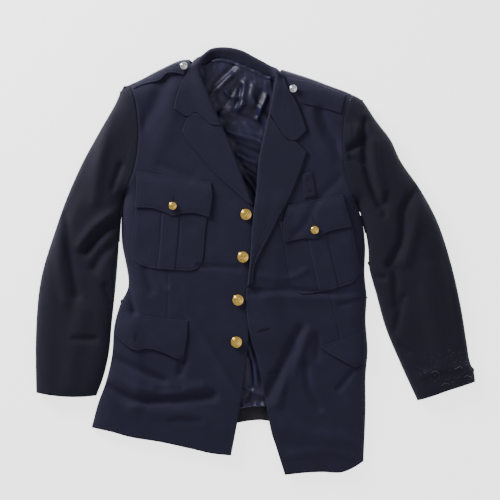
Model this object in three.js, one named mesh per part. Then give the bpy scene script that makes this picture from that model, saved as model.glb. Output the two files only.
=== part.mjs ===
// A single-breasted uniform dress jacket of navy wool, unfastened and laid on its back on a flat surface.
// Units are millimetres. +X runs to the wearer's left, +Y from hem to collar and +Z up from the surface.
// Each piece of cloth is a thin wall between two grids of points, one for each of its faces.
import * as THREE from "three";

const cloth = 2; // outer cloth with its interlining
const lightCloth = 1.4; // pockets, flaps, straps and facings
const satin = 1; // lining
const seamGap = 0.4; // between pieces that are sewn together
const layGap = 0.7; // between a piece and what it lies on
const sideRoll = 34; // how far in from an edge the upper layer takes to reach its full height
const underRoll = 15; // the same for the lower layer
const seamShare = 0.36; // height of a side seam, as a share of the layer's full height
const hemShare = 0.8; // height of the fronts at the hem, as a share of their full height
const hemReach = 120; // how far above the hem the fronts start to come down
const reach = 75; // how far past the armhole's ends an edge still shapes the neighbouring panel
const turn = 5; // how far the fronts stop short of the lapel's and the collar's turned edge
const overlap = { lift: 3.4, full: 45, end: 85, top: 150, bottom: -190 }; // left front over right front
const neckLift = { height: 4.8, full: 52, end: 95 }; // the back lies on the collar there
const armRows = { upper: 10, under: 8 }; // steps along an armhole
const sideRows = { upper: 12, under: 7 }; // steps along a side seam
const frameShift = [0.5, 0]; // brings the middle of the outline to the origin

const wool = { color: 0x1b1b28, roughness: 0.85, metalness: 0 };
const satinLook = { color: 0x23243f, roughness: 0.4, metalness: 0 };
const gilt = { color: 0xd9a62e, roughness: 0.25, metalness: 1 };
const silver = { color: 0xc9ccd0, roughness: 0.25, metalness: 1 };
const darkMetal = { color: 0x2c2c33, roughness: 0.4, metalness: 1 };

// Outlines seen from above, for the wearer's right and left half.
const outline = {
  right: {
    shoulder: [[-253, 353], [-231, 363], [-191, 384], [-151, 402], [-133, 404]],
    armhole: [[-253, 353], [-243, 330], [-237, 298], [-234, 262], [-236, 222], [-245, 178], [-263, 130]],
    side: [[-263, 130], [-268, 96], [-268, 40], [-255, -50], [-271, -86], [-283, -130], [-288, -190],
      [-300, -242], [-316, -286], [-329, -334]],
    hem: [[-329, -334], [-251, -353], [-191, -363], [-110, -381], [-49, -390]],
    neck: [[-133, 404], [-128, 392], [-117, 376], [-104.7, 345], [-88.7, 308], [-71.7, 268.5]],
    roll: [[-67, 270], [-55, 246], [-39, 206], [-23, 162], [-4, 112]],
    opening: [[-4, 112], [0, 92], [3, 72], [0, 8], [-8, -78], [-14, -160], [-29, -282], [-49, -390]],
    sleeveOuter: [[-253, 353], [-266, 345], [-280, 316], [-311, 262], [-346, 198], [-379, 124], [-405, 50],
      [-425, -14], [-434, -60], [-440, -140], [-441, -208], [-440, -264]],
    sleeveInner: [[-263, 130], [-272, 90], [-274, 30], [-280, -48], [-288, -124], [-294, -185],
      [-305, -232], [-319, -270]],
    cuff: [[-440, -264], [-411, -269], [-379, -272], [-347, -272], [-319, -270]],
  },
  left: {
    shoulder: [[195, 333], [179, 340], [149, 351], [115, 364], [85, 374], [53, 384]],
    armhole: [[195, 333], [184, 312], [177, 285], [175, 246], [176, 202], [184, 158], [203, 116]],
    side: [[203, 116], [215, 74], [220, 32], [219, -28], [223, -72], [221, -118], [225, -180], [221, -232],
      [221, -298], [217, -402]],
    hem: [[217, -402], [193, -415], [171, -423], [115, -424], [59, -429]],
    neck: [[53, 384], [50, 377], [44, 367], [41, 345], [36, 317], [30.8, 293]],
    roll: [[26, 294], [15, 246], [6, 200], [1, 138], [-3, 106], [-7, 66], [-11, 6], [-17, -50]],
    opening: [[-17, -50], [-19, -84], [-12, -144], [4, -200], [20, -282], [32, -344], [59, -429]],
    sleeveOuter: [[195, 333], [213, 322], [241, 282], [271, 242], [291, 200], [331, 142], [365, 78],
      [392, -4], [412, -92], [424, -166], [438, -220], [441, -242]],
    sleeveInner: [[203, 116], [217, 74], [226, 24], [228, -14], [242, -66], [261, -134], [291, -206], [325, -280]],
    cuff: [[441, -242], [413, -251], [385, -260], [357, -270], [325, -280]],
  },
  backNeck: [[-133, 404], [-119, 393], [-108, 388], [-98, 390], [-86, 398], [-66, 400], [-44, 394], [-20, 385],
    [3, 375], [20, 366], [32, 364], [44, 374], [53, 384]],
  backHem: [[-329, -334], [-171, -337], [-75, -332], [-11, -321], [16, -320], [60, -331], [169, -380], [217, -402]],
};

// Full height of the upper layer above the surface, from collar to hem.
const crest = [
  { y: 420, body: 27, sleeve: 27 },
  { y: 340, body: 33, sleeve: 33 },
  { y: 230, body: 30, sleeve: 33 },
  { y: 110, body: 27, sleeve: 31 },
  { y: -20, body: 23, sleeve: 27 },
  { y: -150, body: 19, sleeve: 23 },
  { y: -280, body: 16, sleeve: 18 },
  { y: -430, body: 15, sleeve: 15 },
];

// The largest folds: a soft ridge or trough along a line that bows to one side.
const folds = [
  { on: "body", from: [-301, -238], to: [-85, -270], bow: -14, width: 18, height: -4 },
  { on: "body", from: [-285, -196], to: [-165, -246], bow: -4, width: 18, height: 3 },
  { on: "body", from: [-205, 330], to: [-225, 262], bow: 4, width: 22, height: -3 },
  { on: "body", from: [138, 292], to: [176, 224], bow: -6, width: 20, height: -5 },
  { on: "body", from: [92, -160], to: [24, -276], bow: 4, width: 20, height: -3.5 },
  { on: "body", from: [112, -190], to: [96, -330], bow: -8, width: 24, height: 3 },
  { on: "sleeve", from: [-284, 70], to: [-338, 18], bow: 8, width: 20, height: -8 },
  { on: "sleeve", from: [-377, 72], to: [-357, -66], bow: 5, width: 18, height: -4 },
  { on: "sleeve", from: [222, 232], to: [250, 108], bow: -6, width: 18, height: -6 },
  { on: "sleeve", from: [322, 150], to: [266, -22], bow: -14, width: 18, height: -5 },
  { on: "lining", from: [-78, 352], to: [-20, 296], bow: 10, width: 16, height: 4 },
  { on: "lining", from: [-50, 250], to: [16, 330], bow: -12, width: 16, height: 5 },
  { on: "lining", from: [-30, 200], to: [4, 130], bow: 6, width: 14, height: 4 },
  { on: "lining", from: [-14, -180], to: [0, -290], bow: 6, width: 12, height: 3 },
];

// Where the right and the left half of the collar turn, and the edge of the part that falls outside.
const collarFront = {
  right: [
    { roll: [-67, 270], edge: [-163, 304] },
    { roll: [-84, 310], edge: [-158, 326] },
    { roll: [-100, 347], edge: [-147, 356] },
    { roll: [-112, 378], edge: [-137, 375] },
  ],
  left: [
    { roll: [39.2, 366], edge: [57, 364] },
    { roll: [36, 346], edge: [64, 346] },
    { roll: [31, 318], edge: [83, 314] },
    { roll: [26, 294], edge: [103, 261] },
  ],
};
// The seam between collar and lapel, from the turned edge to the notch, the collar's point, and the lapel's
// outer edge from the notch by its peak to the foot of the lapel.
const lapels = {
  right: {
    gorge: [[-67, 270], [-87, 271], [-101, 282], [-119, 296], [-135, 288]],
    point: [-163, 304],
    peak: [-147, 258],
    outer: [[-147, 258], [-131, 234], [-111, 210], [-87, 182], [-61, 156], [-35, 134], [-15, 116]],
  },
  left: {
    gorge: [[26, 294], [41, 274], [53, 254], [65, 242], [79, 240]],
    point: [103, 261],
    peak: [103, 217],
    outer: [[103, 217], [93, 186], [81, 156], [67, 124], [49, 92], [33, 60], [13, 22], [-1, -8], [-6, -44]],
  },
};
// Sections of the collar round the neck: the seam, the turned edge, the outermost point, the place where the
// part outside comes down on what it lies on, and its lower edge.
const collarBack = [
  { seam: [-114, 387, 24], roll: [-109, 391, 31], out: [-113, 393, 35], lay: [-122, 391, 35], edge: [-130, 389, 32.5] },
  { seam: [-107, 390, 15], roll: [-104, 403, 27], out: [-109, 406, 28], lay: [-117, 407, 21], edge: [-121, 404, 13] },
  { seam: [-98, 391.2, 9], roll: [-97, 414, 22], out: [-102, 416, 20], lay: [-108, 409, 10], edge: [-109, 398, 4] },
  { seam: [-86, 399.2, 7], roll: [-88, 421, 17], out: [-91, 425, 12], lay: [-95, 416, 2.4], edge: [-96, 388, 0.8] },
  { seam: [-66, 401.2, 6.6], roll: [-70, 425, 15], out: [-72, 429, 9], lay: [-72, 423, 1.2], edge: [-71, 380, 0.4] },
  { seam: [-44, 395.2, 6.6], roll: [-49, 423, 15], out: [-49, 428, 9], lay: [-48, 421, 1.2], edge: [-44, 374, 0.4] },
  { seam: [-20, 386.2, 6.6], roll: [-27, 418, 15], out: [-26, 422, 9], lay: [-25, 415, 1.2], edge: [-18, 366, 0.4] },
  { seam: [3, 376.4, 6.6], roll: [-4, 405, 15], out: [-3, 410, 9], lay: [-1, 403, 1.2], edge: [8, 357, 0.4] },
  { seam: [20, 368.4, 7.6], roll: [15, 395, 17], out: [17, 399, 12], lay: [24, 389, 2.4], edge: [27, 358, 0.8] },
  { seam: [31.6, 367.6, 10], roll: [26, 389, 22], out: [30, 391, 20], lay: [36, 386, 10], edge: [35, 377, 4] },
  { seam: [37.6, 367, 15], roll: [33, 383, 27], out: [37, 386, 28], lay: [42, 386, 21], edge: [43, 384, 13] },
  { seam: [41.4, 369, 24], roll: [37.4, 375, 32], out: [42, 377, 36], lay: [47, 376, 36], edge: [53, 373, 33.5] },
];

const pockets = {
  right: {
    top: [[-238, 110], [-96, 92]],
    left: [[-238, 110], [-245, 62], [-248, 26], [-245, 6], [-231, -8]],
    right: [[-96, 92], [-100, 52], [-102, 22], [-106, -2], [-115, -14]],
    bottom: [[-231, -8], [-211, -14], [-181, -17], [-151, -19], [-127, -19], [-115, -14]],
  },
  left: {
    top: [[47, 78], [192, 76]],
    left: [[47, 78], [57, 36], [63, -2], [69, -40], [79, -58], [93, -66]],
    right: [[192, 76], [197, 50], [204, 18], [208, -14], [202, -34], [189, -46]],
    bottom: [[93, -66], [125, -63], [157, -56], [189, -46]],
  },
};
const breastFlaps = {
  right: {
    top: [[-237, 180], [-191, 172], [-137, 162], [-89, 157]],
    left: [[-237, 180], [-238, 140], [-240, 106]],
    right: [[-89, 157], [-86, 130], [-92, 87]],
    bottom: [[-240, 106], [-207, 105], [-181, 97], [-165, 90], [-149, 94], [-121, 95], [-92, 87]],
  },
  left: {
    top: [[65, 111], [89, 115], [133, 125], [175, 133]],
    left: [[65, 111], [56, 76], [57, 36]],
    right: [[175, 133], [183, 102], [193, 68]],
    bottom: [[57, 36], [77, 41], [99, 45], [119, 44], [141, 56], [169, 64], [193, 68]],
  },
};
const lowerFlaps = {
  right: {
    top: [[-271, -95], [-247, -103], [-211, -111], [-171, -116], [-135, -119]],
    left: [[-271, -95], [-277, -122], [-280, -150]],
    right: [[-135, -119], [-137, -154], [-145, -201]],
    bottom: [[-280, -150], [-263, -166], [-243, -178], [-215, -176], [-191, -181], [-167, -192], [-145, -201]],
  },
  left: {
    top: [[127, -172], [159, -161], [189, -151], [217, -138]],
    left: [[127, -172], [145, -184], [165, -195], [186, -207]],
    right: [[217, -138], [219, -168], [217, -200]],
    bottom: [[186, -207], [201, -212], [217, -200]],
  },
};
const straps = {
  right: {
    upper: [[-247, 352], [-227, 359], [-207, 369], [-191, 378], [-175, 387], [-159, 394], [-139, 396]],
    lower: [[-244, 344], [-227, 352], [-207, 357], [-191, 361], [-177, 374], [-161, 375], [-142, 371]],
    arch: 9, // its middle stands off the shoulder
  },
  left: {
    upper: [[62, 366], [84, 362], [101, 360], [125, 353], [155, 342], [179, 331]],
    lower: [[80, 330], [91, 316], [115, 309], [141, 303], [158, 298], [170, 294]],
    arch: 0,
  },
};
const tab = { corners: [[93, 173], [113, 179], [121, 130], [97, 125]], eyelets: [[103, 165], [106.6, 142]] };
const frontButtons = [[-19, 93], [-25, 8], [-35, -78], [-38, -162]];
const pocketButtons = { right: [-165, 110], left: [118, 62] };
const strapButtons = { right: [-143, 389], left: [75, 343] };
const buttonSizes = { front: 22.9, pocket: 16.5, strap: 15 };

const jacket = new THREE.Group();

function add(name, geometry, look) {
  const mesh = new THREE.Mesh(geometry, new THREE.MeshStandardMaterial({ ...look, side: THREE.DoubleSide }));
  mesh.name = name;
  mesh.updateMatrixWorld(true);
  jacket.add(mesh);
  return mesh;
}

function mix(a, b, t) {
  return a + (b - a) * t;
}

function ramp(t) {
  const s = Math.min(1, Math.max(0, t));
  return s * s * (3 - 2 * s);
}

// A quarter round: 0 and upright at t = 0, level and 1 from t = 1 on.
function rise(t) {
  return t >= 1 ? 1 : Math.sqrt(1 - (1 - Math.max(t, 0)) ** 2);
}

const even = (t) => t;
const bothEnds = (t) => 0.3 * t + 0.35 * (1 - Math.cos(Math.PI * t));
const bothEndsMore = (t) => 0.5 * (1 - Math.cos(Math.PI * t));
const fromStart = (t) => t ** 1.5;
const fromEnd = (t) => 1 - (1 - t) ** 1.5;

// Points along a smooth line through hand-set points, spaced by ease.
function along(points, segments, ease = even) {
  const nodes = points.map(([x, y, z = 0]) => new THREE.Vector3(x, y, z));
  if (nodes.length === 2) nodes.splice(1, 0, nodes[0].clone().lerp(nodes[1], 0.5));
  const line = new THREE.CatmullRomCurve3(nodes, false, "centripetal");
  line.arcLengthDivisions = 300;
  return Array.from({ length: segments + 1 }, (_, i) => line.getPointAt(ease(i / segments)).toArray());
}

// Several lines end to end, as one row of points.
function chain(...lines) {
  return lines.flatMap((line, n) => (n ? line.slice(1) : line));
}

const reversed = (line) => [...line].reverse();
const shifted = (line, dx, dy = 0) => line.map(([x, y]) => [x + dx, y + dy]);

// A line moved to its left by distance, seen from above.
function inset(line, distance) {
  return line.map((point, i) => {
    const a = line[Math.max(i - 1, 0)];
    const b = line[Math.min(i + 1, line.length - 1)];
    const length = Math.hypot(b[0] - a[0], b[1] - a[1]);
    return [point[0] - ((b[1] - a[1]) / length) * distance, point[1] + ((b[0] - a[0]) / length) * distance];
  });
}

function distanceTo(line, x, y) {
  let best = Infinity;
  for (let i = 1; i < line.length; i++) {
    const [ax, ay] = line[i - 1];
    const dx = line[i][0] - ax;
    const dy = line[i][1] - ay;
    const t = Math.min(1, Math.max(0, ((x - ax) * dx + (y - ay) * dy) / (dx * dx + dy * dy)));
    best = Math.min(best, Math.hypot(x - ax - t * dx, y - ay - t * dy));
  }
  return best;
}

const nearest = (lines, x, y) => Math.min(...lines.map((line) => distanceTo(line, x, y)));

// The start of a line, as far as length along it.
function head(line, length) {
  let run = 0;
  const past = line.findIndex((point, i) => {
    if (i) run += Math.hypot(point[0] - line[i - 1][0], point[1] - line[i - 1][1]);
    return run >= length;
  });
  return line.slice(0, past + 1);
}

function crestAt(y, part) {
  if (y >= crest[0].y) return crest[0][part];
  const below = crest.findIndex((row) => row.y <= y);
  if (below < 0) return crest[crest.length - 1][part];
  const [a, b] = [crest[below - 1], crest[below]];
  return mix(a[part], b[part], (a.y - y) / (a.y - b.y));
}

// The edges where the upper and the lower layer meet. Body and sleeve share the ones near an armhole's ends,
// so that both come to the same height along the armhole.
const edges = { body: [], sleeve: [] };
for (const half of [outline.right, outline.left]) {
  const [shoulder, side, outer, inner] = [half.shoulder, half.side, half.sleeveOuter, half.sleeveInner].map((line) =>
    along(line, 70),
  );
  edges.body.push(shoulder, side, head(outer, reach), head(inner, reach));
  edges.sleeve.push(outer, inner, head(shoulder, reach), head(side, reach));
}
const armholes = [along(outline.right.armhole, 40), along(outline.left.armhole, 40)];
const hems = [along(outline.right.hem, 30), along(outline.left.hem, 30)];
const neckLine = along(outline.backNeck.slice(2, -2), 40);
const leftEdge = along([...outline.left.roll, ...outline.left.opening.slice(1)], 80);

function foldsAt(part, x, y) {
  let sum = 0;
  for (const fold of folds.filter((row) => row.on === part)) {
    const dx = fold.to[0] - fold.from[0];
    const dy = fold.to[1] - fold.from[1];
    const length = Math.hypot(dx, dy);
    const share = ((x - fold.from[0]) * dx + (y - fold.from[1]) * dy) / (length * length);
    const across = ((x - fold.from[0]) * dy - (y - fold.from[1]) * dx) / length - fold.bow * 4 * share * (1 - share);
    const past = Math.max(0, -share, share - 1) * length;
    sum += fold.height * Math.exp(-((across / fold.width) ** 2) - (past / fold.width) ** 2);
  }
  return sum;
}

// Height of the upper layer's flat part, which sinks towards the fronts' hem.
function fullHeight(part, x, y) {
  if (part === "body") return crestAt(y, "body") * mix(hemShare, 1, ramp(nearest(hems, x, y) / hemReach));
  return mix(crestAt(y, "body"), crestAt(y, "sleeve"), Math.min(1, nearest(armholes, x, y) / 60));
}

function topHeight(part, x, y) {
  const full = fullHeight(part, x, y);
  const seam = seamShare * full;
  const fold = foldsAt(part, x, y) * ramp(nearest(armholes, x, y) / 45);
  return seam + seamGap / 2 + (full - seam + fold) * rise(nearest(edges[part], x, y) / sideRoll);
}

function underHeight(part, x, y) {
  const seam = seamShare * fullHeight(part, x, y) - seamGap / 2;
  const up = rise(nearest(edges[part], x, y) / underRoll);
  const neck = distanceTo(neckLine, x, y);
  const lifted = part === "body" ? neckLift.height * (1 - ramp((neck - neckLift.full) / (neckLift.end - neckLift.full))) : 0;
  return mix(seam, Math.min(seam, lifted), up);
}

// How much higher the left front lies where the right front is under it.
function overlapLift(x, y) {
  const near = 1 - ramp((distanceTo(leftEdge, x, y) - overlap.full) / (overlap.end - overlap.full));
  const top = 1 - ramp((y - overlap.top + 40) / 40);
  const bottom = ramp((y - overlap.bottom) / 40);
  return overlap.lift * near * top * bottom;
}

// A Coons patch in plan: points between four border lines, top and bottom running across, left and right down.
function patch(top, bottom, left, right) {
  const rows = left.length - 1;
  const columns = top.length - 1;
  const [across, lower] = [top, bottom].map((line) => {
    const run = line.map((point, i) => (i ? Math.hypot(point[0] - line[i - 1][0], point[1] - line[i - 1][1]) : 0));
    const total = run.reduce((a, b) => a + b);
    return run.map((_, i) => run.slice(0, i + 1).reduce((a, b) => a + b) / total);
  });
  return left.map((_, j) =>
    top.map((__, i) => {
      const v = j / rows;
      const u = mix(across[i], lower[i], v);
      return [0, 1].map((k) => {
        const ruled = mix(top[i][k], bottom[i][k], v) + mix(left[j][k], right[j][k], u);
        return ruled - mix(mix(top[0][k], top[columns][k], u), mix(bottom[0][k], bottom[columns][k], u), v);
      });
    }),
  );
}

const raised = (grid, height) => grid.map((row) => row.map(([x, y]) => [x, y, height(x, y)]));
const mirrored = (grid) => grid.map((row) => [...row].reverse());

function normalAt(grid, j, i) {
  const at = (row, column) => new THREE.Vector3(...grid[row][column]);
  const across = at(j, Math.min(i + 1, grid[0].length - 1)).sub(at(j, Math.max(i - 1, 0)));
  const down = at(Math.min(j + 1, grid.length - 1), i).sub(at(Math.max(j - 1, 0), i));
  return down.cross(across).normalize();
}

// The grid moved along its normals. Where level(j, i) is true the rim lies level, as at a side seam; where
// upright(j, i) is true it stands upright, as where a front meets its turned edge.
function offset(grid, distance, level = () => false, upright = () => false) {
  return grid.map((row, j) =>
    row.map((point, i) => {
      const normal = normalAt(grid, j, i);
      if (level(j, i)) normal.setZ(0).normalize();
      if (upright(j, i)) normal.set(0, 0, Math.sign(normal.z));
      return normal.multiplyScalar(distance).add(new THREE.Vector3(...point)).toArray();
    }),
  );
}

// A closed wall between an outer and an inner grid of the same size, the outer one seen from outside.
function wall(outer, inner) {
  const rows = outer.length - 1;
  const columns = outer[0].length - 1;
  const at = (j, i, side = 0) => (side * (rows + 1) + j) * (columns + 1) + i;
  const index = [];
  const quad = (a, b, c, d) => index.push(a, b, c, a, c, d);
  for (let j = 0; j < rows; j++) {
    for (let i = 0; i < columns; i++) {
      quad(at(j, i), at(j + 1, i), at(j + 1, i + 1), at(j, i + 1));
      quad(at(j, i, 1), at(j, i + 1, 1), at(j + 1, i + 1, 1), at(j + 1, i, 1));
    }
    quad(at(j, 0), at(j, 0, 1), at(j + 1, 0, 1), at(j + 1, 0));
    quad(at(j, columns), at(j + 1, columns), at(j + 1, columns, 1), at(j, columns, 1));
  }
  for (let i = 0; i < columns; i++) {
    quad(at(0, i), at(0, i + 1), at(0, i + 1, 1), at(0, i, 1));
    quad(at(rows, i), at(rows, i, 1), at(rows, i + 1, 1), at(rows, i + 1));
  }
  const geometry = new THREE.BufferGeometry();
  geometry.setAttribute("position", new THREE.Float32BufferAttribute([...outer.flat(2), ...inner.flat(2)], 3));
  geometry.setIndex(index);
  geometry.computeVertexNormals();
  return geometry;
}

const raycaster = new THREE.Raycaster();
const down = new THREE.Vector3(0, 0, -1);

// Height of the highest of the meshes under a point, or nothing where there is none.
function heightOn(meshes, x, y) {
  raycaster.set(new THREE.Vector3(x, y, 200), down);
  const [hit] = raycaster.intersectObjects(meshes, false);
  return hit ? hit.point.z : undefined;
}

// Raises a grid, from one of its columns on, until no part of a cell is nearer than gap above the meshes.
function cleared(grid, meshes, gap, first = 0) {
  const steps = [0, 0.25, 0.5, 0.75, 1];
  for (let round = 0; round < 8; round++)
    for (let j = 0; j + 1 < grid.length; j++)
      for (let i = first; i + 1 < grid[0].length; i++) {
        const cell = [grid[j][i], grid[j][i + 1], grid[j + 1][i], grid[j + 1][i + 1]];
        let lack = 0;
        for (const v of steps)
          for (const u of steps) {
            const [x, y, z] = [0, 1, 2].map((k) => mix(mix(cell[0][k], cell[1][k], u), mix(cell[2][k], cell[3][k], u), v));
            lack = Math.max(lack, (heightOn(meshes, x, y) ?? -100) + gap - z);
          }
        if (lack > 0.02) for (const point of cell) point[2] += lack * 0.7;
      }
  return grid;
}

// The wall of a piece laid on meshes, its lower face lie(x, y) above them.
function laidWall(plan, meshes, thickness, lie = () => layGap) {
  const lower = cleared(raised(plan, (x, y) => (heightOn(meshes, x, y) ?? 0) + lie(x, y)), meshes, layGap);
  return wall(offset(lower, thickness), lower);
}

// Body. The fronts' inner border runs down the neck, the turned edge of the lapel and the free edge.
const border = {};
for (const [side, half] of Object.entries(outline)) {
  if (!half.roll) continue;
  const out = side === "right" ? -turn : turn;
  const rollSteps = side === "right" ? 5 : 10;
  const openingSteps = armRows.upper + sideRows.upper - rollSteps - (half.neck.length - 1);
  const roll = along(half.roll, rollSteps);
  border[side] = { roll, line: chain(half.neck, inset(roll, out), along(half.opening, openingSteps)) };
}

function armholeLine(side, steps, ease, gap) {
  return shifted(along(outline[side].armhole, steps, ease), side === "right" ? gap : -1.8 * gap, -0.5 * gap);
}

function frontPlan(side) {
  const half = outline[side];
  const seam = chain(armholeLine(side, armRows.upper, bothEnds, seamGap), along(half.side, sideRows.upper));
  const columns = 12;
  if (side === "right")
    return patch(along(half.shoulder, columns, fromStart), along(half.hem, columns, fromStart), seam, border.right.line);
  const shoulder = reversed(along(half.shoulder, columns, fromStart));
  return patch(shoulder, reversed(along(half.hem, columns, fromStart)), border.left.line, seam);
}

function frontWall(side) {
  const seamColumn = side === "right" ? 0 : 12;
  const lift = side === "right" ? () => 0 : overlapLift;
  const outer = raised(frontPlan(side), (x, y) => topHeight("body", x, y) + lift(x, y));
  const level = (j, i) => j === 0 || (i === seamColumn && j >= armRows.upper);
  const upright = (j, i) => j > 0 && (i === 12 - seamColumn || (i === seamColumn && j < armRows.upper));
  return wall(outer, offset(outer, -cloth, level, upright));
}

const frontRight = add("front_right", frontWall("right"), wool);
const frontLeft = add("front_left", frontWall("left"), wool);

const backBorder = {
  top: chain(
    along(outline.right.shoulder, 5, fromStart),
    along(outline.backNeck, 9),
    reversed(along(outline.left.shoulder, 5, fromStart)),
  ),
  left: chain(armholeLine("right", armRows.under, bothEndsMore, 2 * seamGap), along(outline.right.side, sideRows.under)),
  right: chain(armholeLine("left", armRows.under, bothEndsMore, 3 * seamGap), along(outline.left.side, sideRows.under)),
};

function backWall() {
  const last = backBorder.top.length - 1;
  const plan = patch(backBorder.top, along(outline.backHem, last, bothEnds), backBorder.left, backBorder.right);
  const outer = mirrored(raised(plan, (x, y) => underHeight("body", x, y)));
  const level = (j, i) => (j === 0 && (i <= 5 || i >= last - 5)) || ((i === 0 || i === last) && j >= armRows.under);
  const upright = (j, i) => (i === 0 || i === last) && j > 0 && j < armRows.under;
  return wall(outer, offset(outer, -cloth, level, upright));
}

const back = add("back", backWall(), wool);

// The hem turned up inside the back, and the lining that covers its upper edge.
const hemFacing = { side: 30, height: 52, steps: 16 };
const liningEdge = { side: 18, shoulder: 12, neck: 3, hem: 28, columns: 14, rows: 11 };

function hemFacingWall() {
  const line = along(outline.backHem, 60);
  const kept = line.filter(([x]) => x > line[0][0] + hemFacing.side && x < line[60][0] - hemFacing.side);
  const low = along(inset(kept, 1), hemFacing.steps);
  const high = along(inset(kept, hemFacing.height), hemFacing.steps);
  return laidWall(patch(high, low, along([high[0], low[0]], 2), along([high.at(-1), low.at(-1)], 2)), [back], lightCloth);
}

const backHemFacing = add("back_hem_facing", hemFacingWall(), wool);

function liningWall() {
  const { columns, rows } = liningEdge;
  const top = chain(
    inset(along(outline.right.shoulder, 10), -liningEdge.shoulder).slice(1, -2),
    inset(along(outline.backNeck.slice(2, -2), 16), -liningEdge.neck),
    reversed(inset(along(outline.left.shoulder, 10), liningEdge.shoulder)).slice(2, -1),
  );
  const left = inset(backBorder.left, liningEdge.side);
  const right = inset(backBorder.right, -liningEdge.side);
  const hem = inset(along(outline.backHem, 30), liningEdge.hem).slice(2, -3);
  const from = (side, y) => side.filter((point) => point[1] > y + 20);
  const plan = patch(
    along(top, columns),
    along(hem, columns),
    along([top[0], ...from(left, hem[0][1]).slice(2), hem[0]], rows),
    along([top.at(-1), ...from(right, hem.at(-1)[1]).slice(2), hem.at(-1)], rows),
  );
  const lie = (x, y) => layGap + Math.max(0, foldsAt("lining", x, y));
  return laidWall(plan, [back, backHemFacing], satin, lie);
}

add("back_lining", liningWall(), satinLook);

// Sleeves, each of an upper and an under piece.
const sleeveRows = 14;

function sleevePlan(side, columns, ease) {
  const half = outline[side];
  const cap = armholeLine(side, columns, ease, -seamGap);
  const outer = along(half.sleeveOuter, sleeveRows);
  const inner = along(half.sleeveInner, sleeveRows);
  const cuff = along(half.cuff, columns, ease);
  return side === "right" ? patch(cap, cuff, outer, inner) : patch(reversed(cap), reversed(cuff), inner, outer);
}

for (const side of ["right", "left"]) {
  const upper = raised(sleevePlan(side, armRows.upper, bothEnds), (x, y) => topHeight("sleeve", x, y));
  const sides = (last) => (_, i) => i === 0 || i === last;
  const cap = (last) => (j, i) => j === 0 && i > 0 && i < last;
  add(`sleeve_${side}_top`, wall(upper, offset(upper, -cloth, sides(armRows.upper), cap(armRows.upper))), wool);
  const under = raised(sleevePlan(side, armRows.under, bothEndsMore), (x, y) => underHeight("sleeve", x, y));
  const outer = mirrored(under);
  add(`sleeve_${side}_under`, wall(outer, offset(outer, -cloth, sides(armRows.under), cap(armRows.under))), wool);
}

// A section across a turned edge: from the front's edge, round below the turn and out over the front. Places are
// distances from the turn and heights above the front's face.
const turnedEdge = [
  { out: turn - seamGap, up: -cloth },
  { out: 1.6, up: -1.4 },
  { out: 0, up: 1.6 },
  { out: 2, up: 5 },
];
const flatSteps = [0, 0.25, 0.5, 0.75, 1];
const shallow = 12; // how far from the turn the folded cloth lies down
const lie = { near: 5.2, middle: 3.6, edge: 3.8 }; // its height there, half way out and at its outer edge

// One row of a lapel or of the front part of the collar: turn and edge are points in plan, bend(share) is how
// far the row leaves the straight line between them.
function turnedRow(side, point, normal, edge, bend) {
  const front = side === "right" ? frontRight : frontLeft;
  const lift = side === "right" ? () => 0 : overlapLift;
  const seam = [point[0] + normal[0] * turn, point[1] + normal[1] * turn];
  const face = topHeight("body", ...seam) + lift(...seam);
  const section = turnedEdge.map(({ out, up }) => [point[0] + normal[0] * out, point[1] + normal[1] * out, face + up]);
  const width = Math.hypot(edge[0] - point[0], edge[1] - point[1]);
  const start = Math.min(shallow, 0.4 * width) / width;
  const flat = flatSteps.map((step) => {
    const share = mix(start, 1, step);
    const [dx, dy] = bend(share);
    const [x, y] = [mix(point[0], edge[0], share) + dx, mix(point[1], edge[1], share) + dy];
    const up = mix(mix(lie.near, lie.middle, Math.min(1, step * 2)), lie.edge, Math.max(0, step * 2 - 1));
    return [x, y, (heightOn([front], x, y) ?? topHeight("body", x, y) + lift(x, y)) + up];
  });
  return [...section, ...flat];
}

function outward(line, i, side) {
  const a = line[Math.max(i - 1, 0)];
  const b = line[Math.min(i + 1, line.length - 1)];
  const length = Math.hypot(b[0] - a[0], b[1] - a[1]);
  const sign = side === "right" ? 1 : -1;
  return [(sign * (b[1] - a[1])) / length, (-sign * (b[0] - a[0])) / length];
}

// How the gorge seam leaves the straight line between its ends, at a share of the way.
function gorgeBend(line, amount) {
  const curve = along(line, 60);
  const [a, b] = [line[0], line.at(-1)];
  return (share) => {
    const [x, y] = curve[Math.round(share * 60)];
    return [(x - mix(a[0], b[0], share)) * amount, (y - mix(a[1], b[1], share)) * amount];
  };
}

function lapelWall(side) {
  const { gorge, outer, peak } = lapels[side];
  const roll = border[side].roll;
  const steps = roll.length - 1;
  const gap = side === "right" ? [1, -2.6] : [-0.6, -1.6];
  const edge = chain([gorge.at(-1), peak], along(outer, steps - 1));
  const rows = roll.map((point, j) => {
    const fade = [1, 0.4, 0.1][j] ?? 0;
    const bend = gorgeBend(gorge, fade);
    const [sx, sy] = j ? [0, 0] : gap;
    return turnedRow(side, point, outward(roll, j, side), edge[j], bend).map(([x, y, z]) => [x + sx, y + sy, z]);
  });
  const grid = side === "right" ? mirroredRows(rows) : rows;
  return turnedWall(grid, side === "right" ? frontRight : frontLeft, cloth);
}

const mirroredRows = (rows) => [...rows].reverse();

function turnedWall(grid, front, thickness) {
  cleared(grid, [front], layGap + thickness, turnedEdge.length);
  return wall(grid, offset(grid, -thickness, () => false, (j, i) => i === 0));
}

const lapelRight = add("lapel_right", lapelWall("right"), wool);
const lapelLeft = add("lapel_left", lapelWall("left"), wool);

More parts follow.
